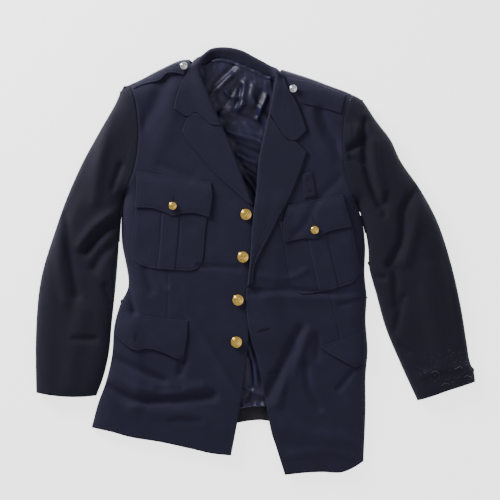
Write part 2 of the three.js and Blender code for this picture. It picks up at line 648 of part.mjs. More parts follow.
function collarWall() {
  const frontRows = (side) => {
    const rows = collarFront[side];
    const line = rows.map((row) => row.roll);
    const fades = side === "right" ? [1, 0.4, 0.1, 0] : [0, 0.1, 0.4, 1];
    const { gorge, point } = lapels[side];
    const down = side === "right" ? reversed(line) : line;
    return rows.map((row, j) => {
      const bend = gorgeBend([...gorge, point], fades[j]);
      return turnedRow(side, row.roll, outward(down, side === "right" ? rows.length - 1 - j : j, side), row.edge, bend);
    });
  };
  const backRows = collarBack.map(({ seam, roll, out, lay, edge }) => {
    const half = seam.map((value, k) => mix(value, roll[k], 0.5));
    return [seam, half, roll, out, ...flatSteps.map((step) => lay.map((value, k) => mix(value, edge[k], step)))];
  });
  const grid = [...frontRows("right"), ...backRows, ...frontRows("left")];
  cleared(grid, [frontRight, frontLeft], layGap + cloth, turnedEdge.length);
  return wall(grid, offset(grid, -cloth, () => false, (j, i) => i === 0 && (j < 4 || j > grid.length - 5)));
}

const collar = add("collar", collarWall(), wool);

// Breast pockets with a box pleat, and the flaps.
const panel = (lines, columns, rows) =>
  patch(along(lines.top, columns), along(lines.bottom, columns), along(lines.left, rows), along(lines.right, rows));

for (const side of ["right", "left"]) {
  const front = side === "right" ? frontRight : frontLeft;
  const pocket = add(`breast_pocket_${side}`, laidWall(panel(pockets[side], 8, 6), [front], lightCloth), wool);
  const flap = panel(breastFlaps[side], 8, 4);
  const button = pocketButtons[side];
  const breastFlap = add(`breast_flap_${side}`, laidWall(flap, [front, pocket], lightCloth), wool);
  addButton(`breast_button_${side}`, button, buttonSizes.pocket, gilt, [breastFlap]);
  add(`lower_flap_${side}`, laidWall(panel(lowerFlaps[side], 7, 3), [front], lightCloth), wool);
}

for (const side of ["right", "left"]) {
  const front = side === "right" ? frontRight : frontLeft;
  const { upper, lower, arch } = straps[side];
  const [above, below] = [along(upper, 12), along(lower, 12)];
  const plan = patch(above, below, along([above[0], below[0]], 2), along([above.at(-1), below.at(-1)], 2));
  const middle = mix(above[0][0], above.at(-1)[0], 0.66);
  const stand = (x) => layGap + arch * Math.exp(-(((x - middle) / 24) ** 2));
  const strap = add(`shoulder_strap_${side}`, laidWall(plan, [front], lightCloth, stand), wool);
  addButton(`strap_button_${side}`, strapButtons[side], buttonSizes.strap, silver, [strap]);
}

frontButtons.forEach((place, i) => addButton(`front_button_${i + 1}`, place, buttonSizes.front, gilt, [frontRight]));

// The direction straight out of the meshes at a place.
function facing(meshes, x, y, span = 5) {
  const slope = (dx, dy) => {
    const [a, b] = [heightOn(meshes, x - dx, y - dy), heightOn(meshes, x + dx, y + dy)];
    return a === undefined || b === undefined ? 0 : (a - b) / (2 * span);
  };
  return new THREE.Vector3(slope(span, 0), slope(0, span), 1).normalize();
}

// Turns a geometry that stands on the origin to face out of the meshes and stands it on them.
function stood(geometry, meshes, [x, y], gap) {
  const out = facing(meshes, x, y);
  const place = new THREE.Vector3(x, y, heightOn(meshes, x, y)).addScaledVector(out, gap);
  geometry.applyQuaternion(new THREE.Quaternion().setFromUnitVectors(new THREE.Vector3(0, 0, 1), out));
  return geometry.translate(place.x, place.y, place.z);
}

// A domed metal button on its shank.
function addButton(name, place, diameter, look, meshes) {
  const r = diameter / 2;
  const shank = { radius: 1.6, height: 1.8 };
  const profile = [
    [0, 0],
    [shank.radius, 0],
    [shank.radius, shank.height],
    [0.88 * r, shank.height],
    [r, shank.height + 0.08 * r],
    [0.97 * r, shank.height + 0.16 * r],
    [0.76 * r, shank.height + 0.33 * r],
    [0.4 * r, shank.height + 0.43 * r],
    [0, shank.height + 0.46 * r],
  ];
  const geometry = new THREE.LatheGeometry(profile.map(([x, y]) => new THREE.Vector2(x, y)), 18);
  return add(name, stood(geometry.rotateX(Math.PI / 2), meshes, place, 0.6), look);
}

// The tab that holds a badge, with two eyelets.
const [topLeft, topRight, lowRight, lowLeft] = tab.corners;
const tabLines = { top: [topLeft, topRight], bottom: [lowLeft, lowRight], left: [topLeft, lowLeft], right: [topRight, lowRight] };
const badgeTab = add("badge_tab", laidWall(panel(tabLines, 2, 4), [frontLeft], lightCloth), wool);

const ring = [[1.7, 0], [3.2, 0], [3.2, 0.5], [2.5, 0.9], [1.7, 0.7], [1.7, 0]];
tab.eyelets.forEach((place, i) => {
  const geometry = new THREE.LatheGeometry(ring.map(([x, y]) => new THREE.Vector2(x, y)), 14);
  add(["eyelet_upper", "eyelet_lower"][i], stood(geometry.rotateX(Math.PI / 2), [badgeTab], place, 0.35), darkMetal);
});

jacket.position.set(frameShift[0], frameShift[1], 0);
export default jacket;
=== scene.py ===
import math
import bpy
import numpy as np
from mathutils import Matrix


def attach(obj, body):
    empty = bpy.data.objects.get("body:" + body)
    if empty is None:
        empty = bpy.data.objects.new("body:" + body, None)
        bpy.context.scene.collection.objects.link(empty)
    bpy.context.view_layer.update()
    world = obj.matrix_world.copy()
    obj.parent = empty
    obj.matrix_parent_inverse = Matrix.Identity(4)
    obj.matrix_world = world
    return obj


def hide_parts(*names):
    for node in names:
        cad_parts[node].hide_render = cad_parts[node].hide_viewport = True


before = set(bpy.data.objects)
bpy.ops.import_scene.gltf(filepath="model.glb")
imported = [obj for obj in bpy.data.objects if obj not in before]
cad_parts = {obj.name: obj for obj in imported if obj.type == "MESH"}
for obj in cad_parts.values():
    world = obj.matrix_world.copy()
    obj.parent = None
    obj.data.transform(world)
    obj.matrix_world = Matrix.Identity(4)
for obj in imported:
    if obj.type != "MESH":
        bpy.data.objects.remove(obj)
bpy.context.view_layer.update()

# A navy wool dress jacket laid open on its back. Places below are millimetres in plan, +X to the wearer's
# left and +Y to the collar; shell() turns them into metres.
mm = 0.001
shift = 0.5  # the frame's origin is half a millimetre beside the plan's

print("camera")
view = {"centre": (-0.0105, 0.022), "height": 4.0, "width": 1.0, "sensor": 36.0}
cameraData = bpy.data.cameras.new("camera")
cameraData.sensor_width = view["sensor"]
cameraData.lens = view["sensor"] * (view["height"] - 0.02) / view["width"]
cameraData.clip_end = 20
camera = bpy.data.objects.new("camera", cameraData)
camera.location = (*view["centre"], view["height"])
bpy.context.scene.collection.objects.link(camera)
bpy.context.scene.camera = camera

cloth = {
    "wool": 2.0, "light": 1.4, "satin": 0.8, "seamGap": 0.35, "layGap": 0.6,
    "sideRoll": 34, "underRoll": 15, "seamShare": 0.36, "hemShare": 0.8, "hemReach": 120, "reach": 75,
    "turn": 5,
}
overlap = {"lift": 3.4, "full": 45, "end": 85, "top": 150, "bottom": -190}
neckLift = {"height": 4.8, "full": 52, "end": 95}
crest = {  # full height of the upper layer, from hem to collar
    "y": [-430, -280, -150, -20, 110, 230, 340, 420],
    "body": [15, 16, 19, 23, 27, 30, 33, 27],
    "sleeve": [15, 18, 23, 27, 31, 33, 33, 27],
}

outline = {
    "right": {
        "shoulder": [(-253, 353), (-231, 363), (-191, 384), (-151, 402), (-133, 404)],
        "armhole": [(-253, 353), (-243, 330), (-237, 298), (-234, 262), (-236, 222), (-245, 178),
                    (-263, 130)],
        "side": [(-263, 130), (-268, 96), (-268, 40), (-255, -50), (-271, -86), (-283, -130), (-288, -190),
                 (-300, -242), (-316, -286), (-329, -334)],
        "hem": [(-329, -334), (-291, -342), (-251, -353), (-191, -363), (-131, -376), (-87, -386),
                (-49, -390)],
        "neck": [(-133, 404), (-128, 392), (-117, 376), (-104.7, 345), (-88.7, 308), (-71.7, 268.5)],
        "roll": [(-67, 270), (-55, 246), (-39, 206), (-23, 162), (-4, 112)],
        "opening": [(-4, 112), (0, 92), (3, 72), (0, 8), (-8, -78), (-14, -160), (-29, -282), (-39, -338),
                    (-49, -390)],
        "sleeveOuter": [(-253, 353), (-266, 345), (-280, 316), (-311, 262), (-346, 198), (-379, 124),
                        (-405, 50),
                        (-425, -14), (-434, -60), (-439, -114), (-441, -168), (-441, -208), (-440, -264)],
        "sleeveInner": [(-263, 130), (-272, 90), (-274, 30), (-280, -48), (-288, -124), (-294, -185),
                        (-305, -232), (-319, -270)],
        "cuff": [(-440, -264), (-411, -269), (-379, -272), (-347, -272), (-319, -270)],
    },
    "left": {
        "shoulder": [(195, 333), (179, 340), (149, 351), (115, 364), (85, 374), (53, 384)],
        "armhole": [(195, 333), (184, 312), (177, 285), (175, 246), (176, 202), (184, 158), (203, 116)],
        "side": [(203, 116), (215, 74), (220, 32), (219, -28), (223, -72), (221, -118), (225, -180),
                 (221, -232),
                 (221, -298), (217, -402)],
        "hem": [(217, -402), (193, -416), (171, -424), (133, -423), (95, -425), (59, -429)],
        "neck": [(53, 384), (50, 377), (44, 367), (41, 345), (36, 317), (30.8, 293)],
        "roll": [(26, 294), (15, 246), (6, 200), (1, 138), (-3, 106), (-7, 66), (-11, 6), (-17, -50)],
        "opening": [(-17, -50), (-19, -84), (-12, -144), (4, -200), (20, -282), (32, -344), (41, -372),
                    (59, -429)],
        "sleeveOuter": [(195, 333), (213, 322), (241, 282), (271, 242), (291, 200), (331, 142), (365, 78),
                        (392, -4), (412, -92), (424, -166), (430, -202), (438, -222), (441, -242)],
        "sleeveInner": [(203, 116), (217, 74), (226, 24), (228, -14), (242, -66), (261, -134),
                        (291, -206), (325, -280)],
        "cuff": [(441, -242), (413, -251), (385, -260), (357, -270), (325, -280)],
    },
}
backNeck = [(-133, 404), (-119, 393), (-108, 388), (-98, 390), (-86, 398), (-66, 400), (-44, 394),
            (-20, 385),
            (3, 375), (20, 366), (32, 364), (44, 374), (53, 384)]
backHem = [(-329, -334), (-171, -337), (-75, -332), (-11, -321), (16, -320), (60, -331), (169, -380),
           (217, -402)]

# Folds: a line of points, the half width of its soft section, and its height, below nothing for a trough.
bodyFolds = [
    ([(-171, -58), (-131, -110), (-75, -202), (-31, -278)], 9, 2.6),
    ([(-301, -246), (-251, -276), (-191, -282), (-85, -270)], 10, -5),
    ([(-296, -226), (-246, -254), (-190, -262), (-110, -254)], 12, 3.5),
    ([(-287, -192), (-241, -216), (-185, -240)], 9, -4),
    ([(-195, -258), (-151, -258)], 7, -2.5),
    ([(-145, -202), (-150, -224)], 8, -3.5),
    ([(-191, 192), (-131, 166)], 10, -1.6),
    ([(-115, -10), (-31, -14)], 5, -1.6),
    ([(-255, -56), (-249, -78), (-243, -102)], 7, -5),
    ([(-221, -18), (-207, -58)], 9, -2.5),
    ([(-251, -292), (-171, -288)], 6, 1.6),
    ([(-167, -320), (-111, -320)], 7, -1.6),
    ([(-181, 362), (-201, 312), (-225, 272)], 14, -3),
    ([(-160, 340), (-172, 280), (-190, 230)], 20, 2.4),
    ([(-250, -130), (-236, -220), (-240, -300)], 16, 2.4),
    ([(-205, -300), (-120, -310), (-70, -340)], 14, 2),
    ([(-11, -64), (70, -58), (150, -66), (223, -62)], 6, -2),
    ([(20, -72), (120, -74), (200, -72)], 10, 1.6),
    ([(89, -138), (55, -208), (19, -278)], 10, -4.4),
    ([(106, -142), (76, -214), (44, -284)], 10, 3.4),
    ([(83, -178), (59, -268)], 7, -2),
    ([(101, -208), (107, -254), (127, -294)], 8, -3),
    ([(201, -214), (167, -256)], 7, -2.4),
    ([(125, -148), (123, -194)], 7, -1.8),
    ([(169, -88), (209, -78)], 6, -1.6),
    ([(169, 166), (125, 122), (99, 72), (79, 52)], 9, -1.8),
    ([(129, 298), (143, 262), (172, 222)], 11, -4),
    ([(112, 296), (124, 252), (150, 210)], 12, 2.4),
    ([(60, -330), (110, -350), (180, -360)], 16, 2),
    ([(70, -390), (130, -380), (190, -388)], 9, 1.5),
    ([(8, -30), (60, -36), (100, -20)], 7, 1.4),
]
sleeveFolds = [
    ([(-291, 296), (-305, 232), (-313, 182), (-322, 120)], 13, 3),
    ([(-381, 92), (-377, 66), (-371, 12), (-357, -68)], 9, -4.5),
    ([(-398, 60), (-392, 0), (-380, -80)], 12, 2.5),
    ([(-276, 76), (-301, 62), (-321, 42), (-337, 22)], 10, -7),
    ([(-272, 100), (-300, 86), (-330, 60), (-352, 30)], 10, 4),
    ([(-285, 30), (-305, 14), (-322, -14)], 10, -4),
    ([(-269, 190), (-285, 146)], 7, -3),
    ([(-361, -156), (-321, -156)], 7, -2.5),
    ([(-300, -52), (-288, -84)], 8, -4),
    ([(-345, -100), (-365, -180), (-370, -250)], 18, 2.4),
    ([(-330, 230), (-350, 150), (-372, 110)], 14, -2),
    ([(186, 222), (204, 232), (214, 256), (218, 280)], 7, -5),
    ([(186, 260), (196, 246), (204, 262)], 12, 4),
    ([(189, 206), (213, 196)], 5, -3),
    ([(217, 242), (221, 192), (235, 142), (249, 112)], 8, -5.5),
    ([(236, 236), (240, 186), (254, 130)], 11, 3.4),
    ([(262, 132), (258, 92)], 7, -3),
    ([(319, 146), (297, 102), (293, 42), (269, -8)], 9, -5),
    ([(334, 120), (316, 60), (300, 0)], 12, 3.4),
    ([(279, -18), (281, -88)], 8, -3.4),
    ([(295, -74), (280, -138)], 8, -3),
    ([(236, -32), (256, -34)], 6, -3),
    ([(289, -168), (305, -182)], 6, -2.4),
    ([(345, -20), (350, -110), (370, -200)], 16, 2.6),
    ([(380, 10), (398, -90), (408, -180)], 10, -2),
    ([(330, -230), (380, -214), (425, -212)], 8, 1.8),
]
liningFolds = [
    ([(-92, 330), (-70, 352), (-48, 372)], 5, 4.5), ([(-80, 300), (-56, 322), (-42, 350)], 4, -3.5),
    ([(-70, 296), (-40, 306), (-20, 316)], 5, 4.5), ([(-62, 280), (-24, 286), (10, 268)], 6, -4.5),
    ([(-58, 262), (-30, 252), (6, 242), (14, 236)], 7, 5), ([(-30, 348), (-36, 318), (-44, 300)], 5, -4.5),
    ([(-22, 356), (-26, 324), (-32, 304)], 6, 5), ([(-4, 350), (-8, 326), (8, 306)], 7, 4),
    ([(12, 340), (2, 310), (-4, 296)], 4, -3.6), ([(22, 330), (12, 304), (4, 286)], 4, 3.4),
    ([(-44, 392), (-60, 376), (-84, 352)], 5, -4), ([(-30, 384), (-54, 366), (-72, 344)], 6, 4),
    ([(-38, 232), (-18, 222), (8, 214)], 6, -4), ([(-36, 214), (-16, 204), (6, 196)], 6, 4),
    ([(-24, 186), (-8, 174), (4, 168)], 5, -3), ([(-20, 168), (-4, 150), (4, 132)], 6, 3.4),
    ([(-60, 340), (-50, 330), (-30, 330)], 4, 3), ([(-10, 300), (14, 280), (20, 262)], 4, -3),
    ([(-16, -170), (-4, -210), (2, -250)], 5, 3), ([(-12, -200), (-8, -240), (-14, -280)], 4, -3),
    ([(-24, -250), (-6, -262), (14, -268)], 4, 3.4), ([(-26, -272), (-4, -280), (18, -282)], 4, -3),
    ([(-20, -288), (-2, -292), (18, -292)], 4, 2.6),
]
darts = [[(-175, -18), (-176, -114)], [(147, -64), (160, -112), (171, -158)]]


def curve(points, count, ease=None):
    # A centripetal Catmull-Rom line through the points: count places on it, spaced by ease.
    p = np.asarray(points, float)
    if len(p) == 2:
        p = np.array([p[0], (p[0] + p[1]) / 2, p[1]])
    p = np.vstack([2 * p[0] - p[1], p, 2 * p[-1] - p[-2]])
    knots = np.concatenate([[0], np.cumsum(np.sqrt(np.linalg.norm(np.diff(p, axis=0), axis=1)))])
    inner = len(p) - 3
    t = np.linspace(0, inner, inner * 40 + 1)
    k = np.minimum(t.astype(int), inner - 1)
    s = (knots[k + 1] + (t - k) * (knots[k + 2] - knots[k + 1]))[:, None]
    kn = [knots[k + n][:, None] for n in range(4)]
    q = [p[k + n] for n in range(4)]
    a = [((kn[n + 1] - s) * q[n] + (s - kn[n]) * q[n + 1]) / (kn[n + 1] - kn[n]) for n in range(3)]
    b = [((kn[n + 2] - s) * a[n] + (s - kn[n]) * a[n + 1]) / (kn[n + 2] - kn[n]) for n in range(2)]
    fine = ((kn[2] - s) * b[0] + (s - kn[1]) * b[1]) / (kn[2] - kn[1])
    run = np.concatenate([[0], np.cumsum(np.linalg.norm(np.diff(fine, axis=0), axis=1))])
    u = np.linspace(0, 1, count)
    u = u if ease is None else ease(u)
    return np.stack([np.interp(u * run[-1], run, fine[:, c]) for c in range(fine.shape[1])], axis=1)


def bothEnds(u):
    return 0.4 * u + 0.3 * (1 - np.cos(np.pi * u))


def chain(*lines):
    return np.vstack([line if n == 0 else line[1:] for n, line in enumerate(lines)])


def inset(line, distance):
    # The line moved to its left in plan.
    d = np.gradient(line, axis=0)
    d /= np.linalg.norm(d, axis=1)[:, None]
    return line + np.stack([-d[:, 1], d[:, 0]], axis=1) * distance


def ramp(t):
    s = np.clip(t, 0, 1)
    return s * s * (3 - 2 * s)


def rise(t):
    # A quarter round: upright at 0, level from 1 on.
    return np.sqrt(1 - (1 - np.clip(t, 0, 1)) ** 2)


def distance(line, x, y):
    # Distance in plan from each point to the nearest place of a line.
    line = np.asarray(line, float)
    best = np.full(np.shape(x), np.inf)
    for a, b in zip(line[:-1], line[1:]):
        d = b - a
        t = np.clip(((x - a[0]) * d[0] + (y - a[1]) * d[1]) / (d @ d + 1e-9), 0, 1)
        best = np.minimum(best, np.hypot(x - a[0] - t * d[0], y - a[1] - t * d[1]))
    return best


def nearest(lines, x, y):
    return np.min([distance(line, x, y) for line in lines], axis=0)


def head(line, length):
    run = np.concatenate([[0], np.cumsum(np.linalg.norm(np.diff(line, axis=0), axis=1))])
    return line[: np.searchsorted(run, length) + 1]


print("heights")
edges = {"body": [], "sleeve": []}
for half in outline.values():
    shoulder, side, outer, inner = (curve(half[name], 40) for name in ("shoulder", "side", "sleeveOuter",
                                                                       "sleeveInner"))
    edges["body"] += [shoulder, side, head(outer, cloth["reach"]), head(inner, cloth["reach"])]
    edges["sleeve"] += [outer, inner, head(shoulder, cloth["reach"]), head(side, cloth["reach"])]
armholes = [curve(half["armhole"], 24) for half in outline.values()]
hems = [curve(half["hem"], 24) for half in outline.values()]
neckLine = curve(backNeck[2:-2], 30)
leftEdge = curve(outline["left"]["roll"] + outline["left"]["opening"][1:], 50)


foldRaise = 1.35


def folds(rows, x, y):
    # Each fold is its height, raised so that it shows, times a bell of the distance from its line.
    total = np.zeros(np.shape(x))
    for points, width, height in rows:
        total += foldRaise * height * np.exp(-((distance(curve(points, 12), x, y) / width) ** 2))
    return total


def ripple(x, y, seed, scale):
    # A few slanted sine waves over each other, from -1 to 1: the cloth's slight unevenness.
    rng = np.random.default_rng(seed)
    total = np.zeros(np.shape(x))
    for _ in range(7):
        angle, phase = rng.uniform(0, math.pi), rng.uniform(0, 2 * math.pi)
        k = 2 * math.pi / (scale * rng.uniform(0.6, 1.7))
        total += np.sin(k * (x * math.cos(angle) + y * math.sin(angle)) + phase)
    return total / 7


def fullHeight(part, x, y):
    body = np.interp(y, crest["y"], crest["body"])
    if part == "body":
        return body * (cloth["hemShare"] + (1 - cloth["hemShare"]) * ramp(nearest(hems, x,
                                                                                  y) / cloth["hemReach"]))
    sleeve = np.interp(y, crest["y"], crest["sleeve"])
    return body + (sleeve - body) * np.clip(nearest(armholes, x, y) / 60, 0, 1)


def topHeight(part, x, y):
    # Outer face of the upper layer: a quarter round at each edge up to a level that folds and ripples shape.
    full = fullHeight(part, x, y)
    seam = cloth["seamShare"] * full
    arm = nearest(armholes, x, y)
    fold = folds(bodyFolds if part == "body" else sleeveFolds, x, y) * ramp(arm / 16)
    fold = fold + 0.9 * ripple(x, y, 3, 150) * ramp(arm / 40) + 0.28 * ripple(x, y, 5, 42)
    fold = fold - 0.8 * np.exp(-((arm / 2.2) ** 2))
    if part == "body":
        for dart in darts:
            fold = fold - 0.9 * np.exp(-((distance(curve(dart, 8), x, y) / 1.8) ** 2))
    up = rise(nearest(edges[part], x, y) / cloth["sideRoll"])
    height = seam + cloth["seamGap"] / 2 + (full - seam + fold) * up
    if part == "body":
        near = 1 - ramp((distance(leftEdge, x, y) - overlap["full"]) / (overlap["end"] - overlap["full"]))
        top = 1 - ramp((y - overlap["top"] + 40) / 40)
        low = ramp((y - overlap["bottom"]) / 40)
        height = height + overlap["lift"] * near * top * low * leftHalf
    return height


leftHalf = 0  # 1 while the left front and what lies on it are made


def underHeight(part, x, y):
    seam = cloth["seamShare"] * fullHeight(part, x, y) - cloth["seamGap"] / 2
    up = rise(nearest(edges[part], x, y) / cloth["underRoll"])
    neck = distance(neckLine, x, y)
    lifted = neckLift["height"] * (1 - ramp((neck - neckLift["full"]) / (neckLift["end"] - neckLift["full"])))
    return seam + (np.minimum(seam, lifted if part == "body" else 0) - seam) * up


def patch(top, bottom, left, right):
    # A Coons patch in plan between four border lines.
    def share(line):
        run = np.concatenate([[0], np.cumsum(np.linalg.norm(np.diff(line, axis=0), axis=1))])
        return run / run[-1]
    v = np.linspace(0, 1, len(left))[:, None, None]
    u = (share(top) + (share(bottom) - share(top)) * v[:, :, 0])[:, :, None]
    ruled = top[None] * (1 - v) + bottom[None] * v + left[:, None] * (1 - u) + right[:, None] * u
    upper = top[0] * (1 - u) + top[-1] * u
    lower = bottom[0] * (1 - u) + bottom[-1] * u
    return ruled - upper * (1 - v) - lower * v


def solid(plan, height):
    return np.concatenate([plan, height(plan[..., 0], plan[..., 1])[..., None]], axis=2)


def normals(grid):
    n = np.cross(np.gradient(grid, axis=0), np.gradient(grid, axis=1))
    return n / (np.linalg.norm(n, axis=2)[..., None] + 1e-12)


def shell(name, outer, thickness, node, material, levelSides=(), inner=None):
    # A closed wall: the outer grid, the same moved in along its normals, and a rim; its UV is
    # in metres of cloth.
    rows, columns = outer.shape[:2]
    n = normals(outer)
    for side in levelSides:  # a seam's rim lies level
        part = {"left": np.s_[:, 0], "right": np.s_[:, -1], "top": np.s_[0, :]}[side]
        flat = n[part].copy()
        flat[..., 2] *= 0.15
        n[part] = flat / np.linalg.norm(flat, axis=-1)[..., None]
    inner = outer - n * thickness if inner is None else inner
    verts = np.concatenate([outer.reshape(-1, 3), inner.reshape(-1, 3)])
    verts = (verts + (shift, 0, 0)) * mm
    index = np.arange(rows * columns).reshape(rows, columns)
    a, b, c, d = index[:-1, :-1], index[1:, :-1], index[1:, 1:], index[:-1, 1:]
    other = rows * columns
    front = np.stack([a, b, c, d], axis=-1).reshape(-1, 4)
    behind = np.stack([a, d, c, b], axis=-1).reshape(-1, 4) + other
    ring = np.concatenate([index[:, 0], index[-1, 1:], index[-2::-1, -1], index[0, -2:0:-1]])
    after = np.roll(ring, -1)
    rim = np.stack([ring, ring + other, after + other, after], axis=-1)
    faces = np.concatenate([front, behind, rim])
    mesh = bpy.data.meshes.new(name)
    mesh.from_pydata(verts.tolist(), [], faces.tolist())
    step = np.linalg.norm(np.diff(outer, axis=1), axis=2)
    across = np.concatenate([np.zeros((rows, 1)), np.cumsum(step, axis=1)], axis=1)
    across = across - across[:, columns // 2][:, None]
    step = np.linalg.norm(np.diff(outer, axis=0), axis=2)
    downward = np.concatenate([np.zeros((1, columns)), np.cumsum(step, axis=0)], axis=0)
    uv = np.tile(np.stack([across, downward], axis=-1).reshape(-1, 2) * mm, (2, 1))
    layer = mesh.uv_layers.new(name="cloth")
    loops = np.empty(len(mesh.loops), dtype=np.int32)
    mesh.loops.foreach_get("vertex_index", loops)
    layer.data.foreach_set("uv", uv[loops].ravel().astype(np.float32))
    mesh.polygons.foreach_set("use_smooth", np.ones(len(faces), dtype=bool))
    mesh.update()
    piece = bpy.data.objects.new(name, mesh)
    bpy.context.scene.collection.objects.link(piece)
    mesh.materials.append(material)
    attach(piece, "root")
    if node:
        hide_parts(node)
    return piece


print("materials")


def newGroup(name, inputs, outputs):
    group = bpy.data.node_groups.new(name, "ShaderNodeTree")
    for label, kind, value in inputs:
        socket = group.interface.new_socket(name=label, in_out="INPUT", socket_type=kind)
        if value is not None:
            socket.default_value = value
    for label, kind in outputs:
        group.interface.new_socket(name=label, in_out="OUTPUT", socket_type=kind)
    return group, group.nodes.new("NodeGroupInput"), group.nodes.new("NodeGroupOutput")


def math2(tree, operation, a, b):
    node = tree.nodes.new("ShaderNodeMath")
    node.operation = operation
    for socket, value in zip(node.inputs, (a, b)):
        if hasattr(value, "links"):
            tree.links.new(value, socket)
        else:
            socket.default_value = value
    return node.outputs[0]


def twillGroup():
    # Twill: slanted ribs broken up by a fibre noise; out come a height and a nap mask.
    group, start, end = newGroup(
        "twill",
        [("Vector", "NodeSocketVector", None), ("Threads", "NodeSocketFloat", 900.0),
         ("Fibre", "NodeSocketFloat", 0.5)],
        [("Height", "NodeSocketFloat"), ("Nap", "NodeSocketFloat")],
    )
    turn = group.nodes.new("ShaderNodeMapping")
    turn.inputs["Rotation"].default_value = (0, 0, math.radians(32))
    group.links.new(start.outputs["Vector"], turn.inputs["Vector"])
    ribs = group.nodes.new("ShaderNodeTexWave")
    ribs.inputs["Distortion"].default_value = 1.2
    group.links.new(turn.outputs[0], ribs.inputs["Vector"])
    group.links.new(start.outputs["Threads"], ribs.inputs["Scale"])
    fibre = group.nodes.new("ShaderNodeTexNoise")
    fibre.inputs["Scale"].default_value = 1400
    fibre.inputs["Detail"].default_value = 5
    group.links.new(start.outputs["Vector"], fibre.inputs["Vector"])
    nap = group.nodes.new("ShaderNodeTexNoise")
    nap.inputs["Scale"].default_value = 22
    nap.inputs["Detail"].default_value = 6
    nap.inputs["Roughness"].default_value = 0.6
    group.links.new(start.outputs["Vector"], nap.inputs["Vector"])
    hairy = math2(group, "MULTIPLY", fibre.outputs["Fac"], start.outputs["Fibre"])
    group.links.new(math2(group, "ADD", ribs.outputs["Fac"], hairy), end.inputs["Height"])
    group.links.new(nap.outputs["Fac"], end.inputs["Nap"])
    return group


twill = twillGroup()


def clothMaterial(name, look):
    material = bpy.data.materials.new(name)
    material.use_nodes = True
    tree = material.node_tree
    shader = tree.nodes["Principled BSDF"]
    uv = tree.nodes.new("ShaderNodeUVMap")
    uv.uv_map = "cloth"
    weave = tree.nodes.new("ShaderNodeGroup")
    weave.node_tree = twill
    weave.inputs["Threads"].default_value = look["threads"]
    weave.inputs["Fibre"].default_value = look["fibre"]
    tree.links.new(uv.outputs["UV"], weave.inputs["Vector"])
    colour = tree.nodes.new("ShaderNodeValToRGB")
    colour.color_ramp.elements[0].position, colour.color_ramp.elements[1].position = 0.3, 0.7
    colour.color_ramp.elements[0].color = (*look["dark"], 1)
    colour.color_ramp.elements[1].color = (*look["light"], 1)
    tree.links.new(weave.outputs["Nap"], colour.inputs["Fac"])
    tree.links.new(colour.outputs["Color"], shader.inputs["Base Color"])
    rough = tree.nodes.new("ShaderNodeMapRange")
    rough.inputs["To Min"].default_value, rough.inputs["To Max"].default_value = look["rough"]
    tree.links.new(weave.outputs["Nap"], rough.inputs["Value"])
    tree.links.new(rough.outputs["Result"], shader.inputs["Roughness"])
    bump = tree.nodes.new("ShaderNodeBump")
    bump.inputs["Distance"].default_value = look["relief"]
    bump.inputs["Strength"].default_value = 0.6
    tree.links.new(weave.outputs["Height"], bump.inputs["Height"])
    tree.links.new(bump.outputs["Normal"], shader.inputs["Normal"])
    shader.inputs["Sheen Weight"].default_value = look["sheen"]
    shader.inputs["Sheen Roughness"].default_value = 0.45
    shader.inputs["Sheen Tint"].default_value = (0.55, 0.55, 0.85, 1)
    shader.inputs["Specular IOR Level"].default_value = look["specular"]
    return material


def metalMaterial(name, base, roughness):
    material = bpy.data.materials.new(name)
    material.use_nodes = True
    tree = material.node_tree
    shader = tree.nodes["Principled BSDF"]
    place = tree.nodes.new("ShaderNodeTexCoord")
    tarnish = tree.nodes.new("ShaderNodeTexNoise")
    tarnish.inputs["Scale"].default_value = 260
    tree.links.new(place.outputs["Object"], tarnish.inputs["Vector"])
    colour = tree.nodes.new("ShaderNodeValToRGB")
    colour.color_ramp.elements[0].color = (*[c * 0.55 for c in base], 1)
    colour.color_ramp.elements[1].color = (*base, 1)
    colour.color_ramp.elements[0].position, colour.color_ramp.elements[1].position = 0.25, 0.55
    tree.links.new(tarnish.outputs["Fac"], colour.inputs["Fac"])
    tree.links.new(colour.outputs["Color"], shader.inputs["Base Color"])
    shader.inputs["Metallic"].default_value = 1
    shader.inputs["Roughness"].default_value = roughness
    return material


woolLook = {"threads": 900, "fibre": 0.6, "dark": (0.0085, 0.0075, 0.024), "light": (0.0135, 0.012, 0.036),
            "rough": (0.72, 0.9), "relief": 0.0002, "sheen": 0.12, "specular": 0.3}
wool = clothMaterial("navy_wool", woolLook)
lapelWool = clothMaterial("navy_wool_turned", {**woolLook, "light": (0.0125, 0.0112, 0.033), "sheen": 0.09})
# The sleeves' copy of the navy wool, about half as bright as the body's: the same cloth with painted shade in
# its colour.
shadedSleeveWool = clothMaterial("navy_wool_sleeve_painted_shade",
                         {**woolLook, "dark": (0.0045, 0.0042, 0.013), "light": (0.0075, 0.007, 0.02),
                          "sheen": 0.08})
facingWool = clothMaterial("hem_wool",
                           {**woolLook, "dark": (0.016, 0.016, 0.021), "light": (0.024, 0.023, 0.03)})
satin = clothMaterial("lining_satin", {"threads": 2600, "fibre": 0.15, "dark": (0.008, 0.0078, 0.028),
                                       "light": (0.014, 0.013, 0.05), "rough": (0.42, 0.52),
                                       "relief": 0.00005,
                                       "sheen": 0.05, "specular": 0.4})
thread = clothMaterial("buttonhole_thread",
                       {**woolLook, "dark": (0.006, 0.006, 0.01), "light": (0.01, 0.01, 0.016)})
lint = clothMaterial("lint", {**woolLook, "dark": (0.12, 0.12, 0.14), "light": (0.32, 0.32, 0.34)})
gilt = metalMaterial("gilt_brass", (0.86, 0.56, 0.14), 0.24)
silver = metalMaterial("silver_metal", (0.78, 0.79, 0.82), 0.2)
darkMetal = metalMaterial("dark_metal", (0.05, 0.05, 0.06), 0.4)

print("body")
grain = {"neck": {"right": 25, "left": 20}, "roll": {"right": 35, "left": 90}, "arm": 60, "side": 130,
         "across": 120}
nearStart = lambda u: u ** 1.4


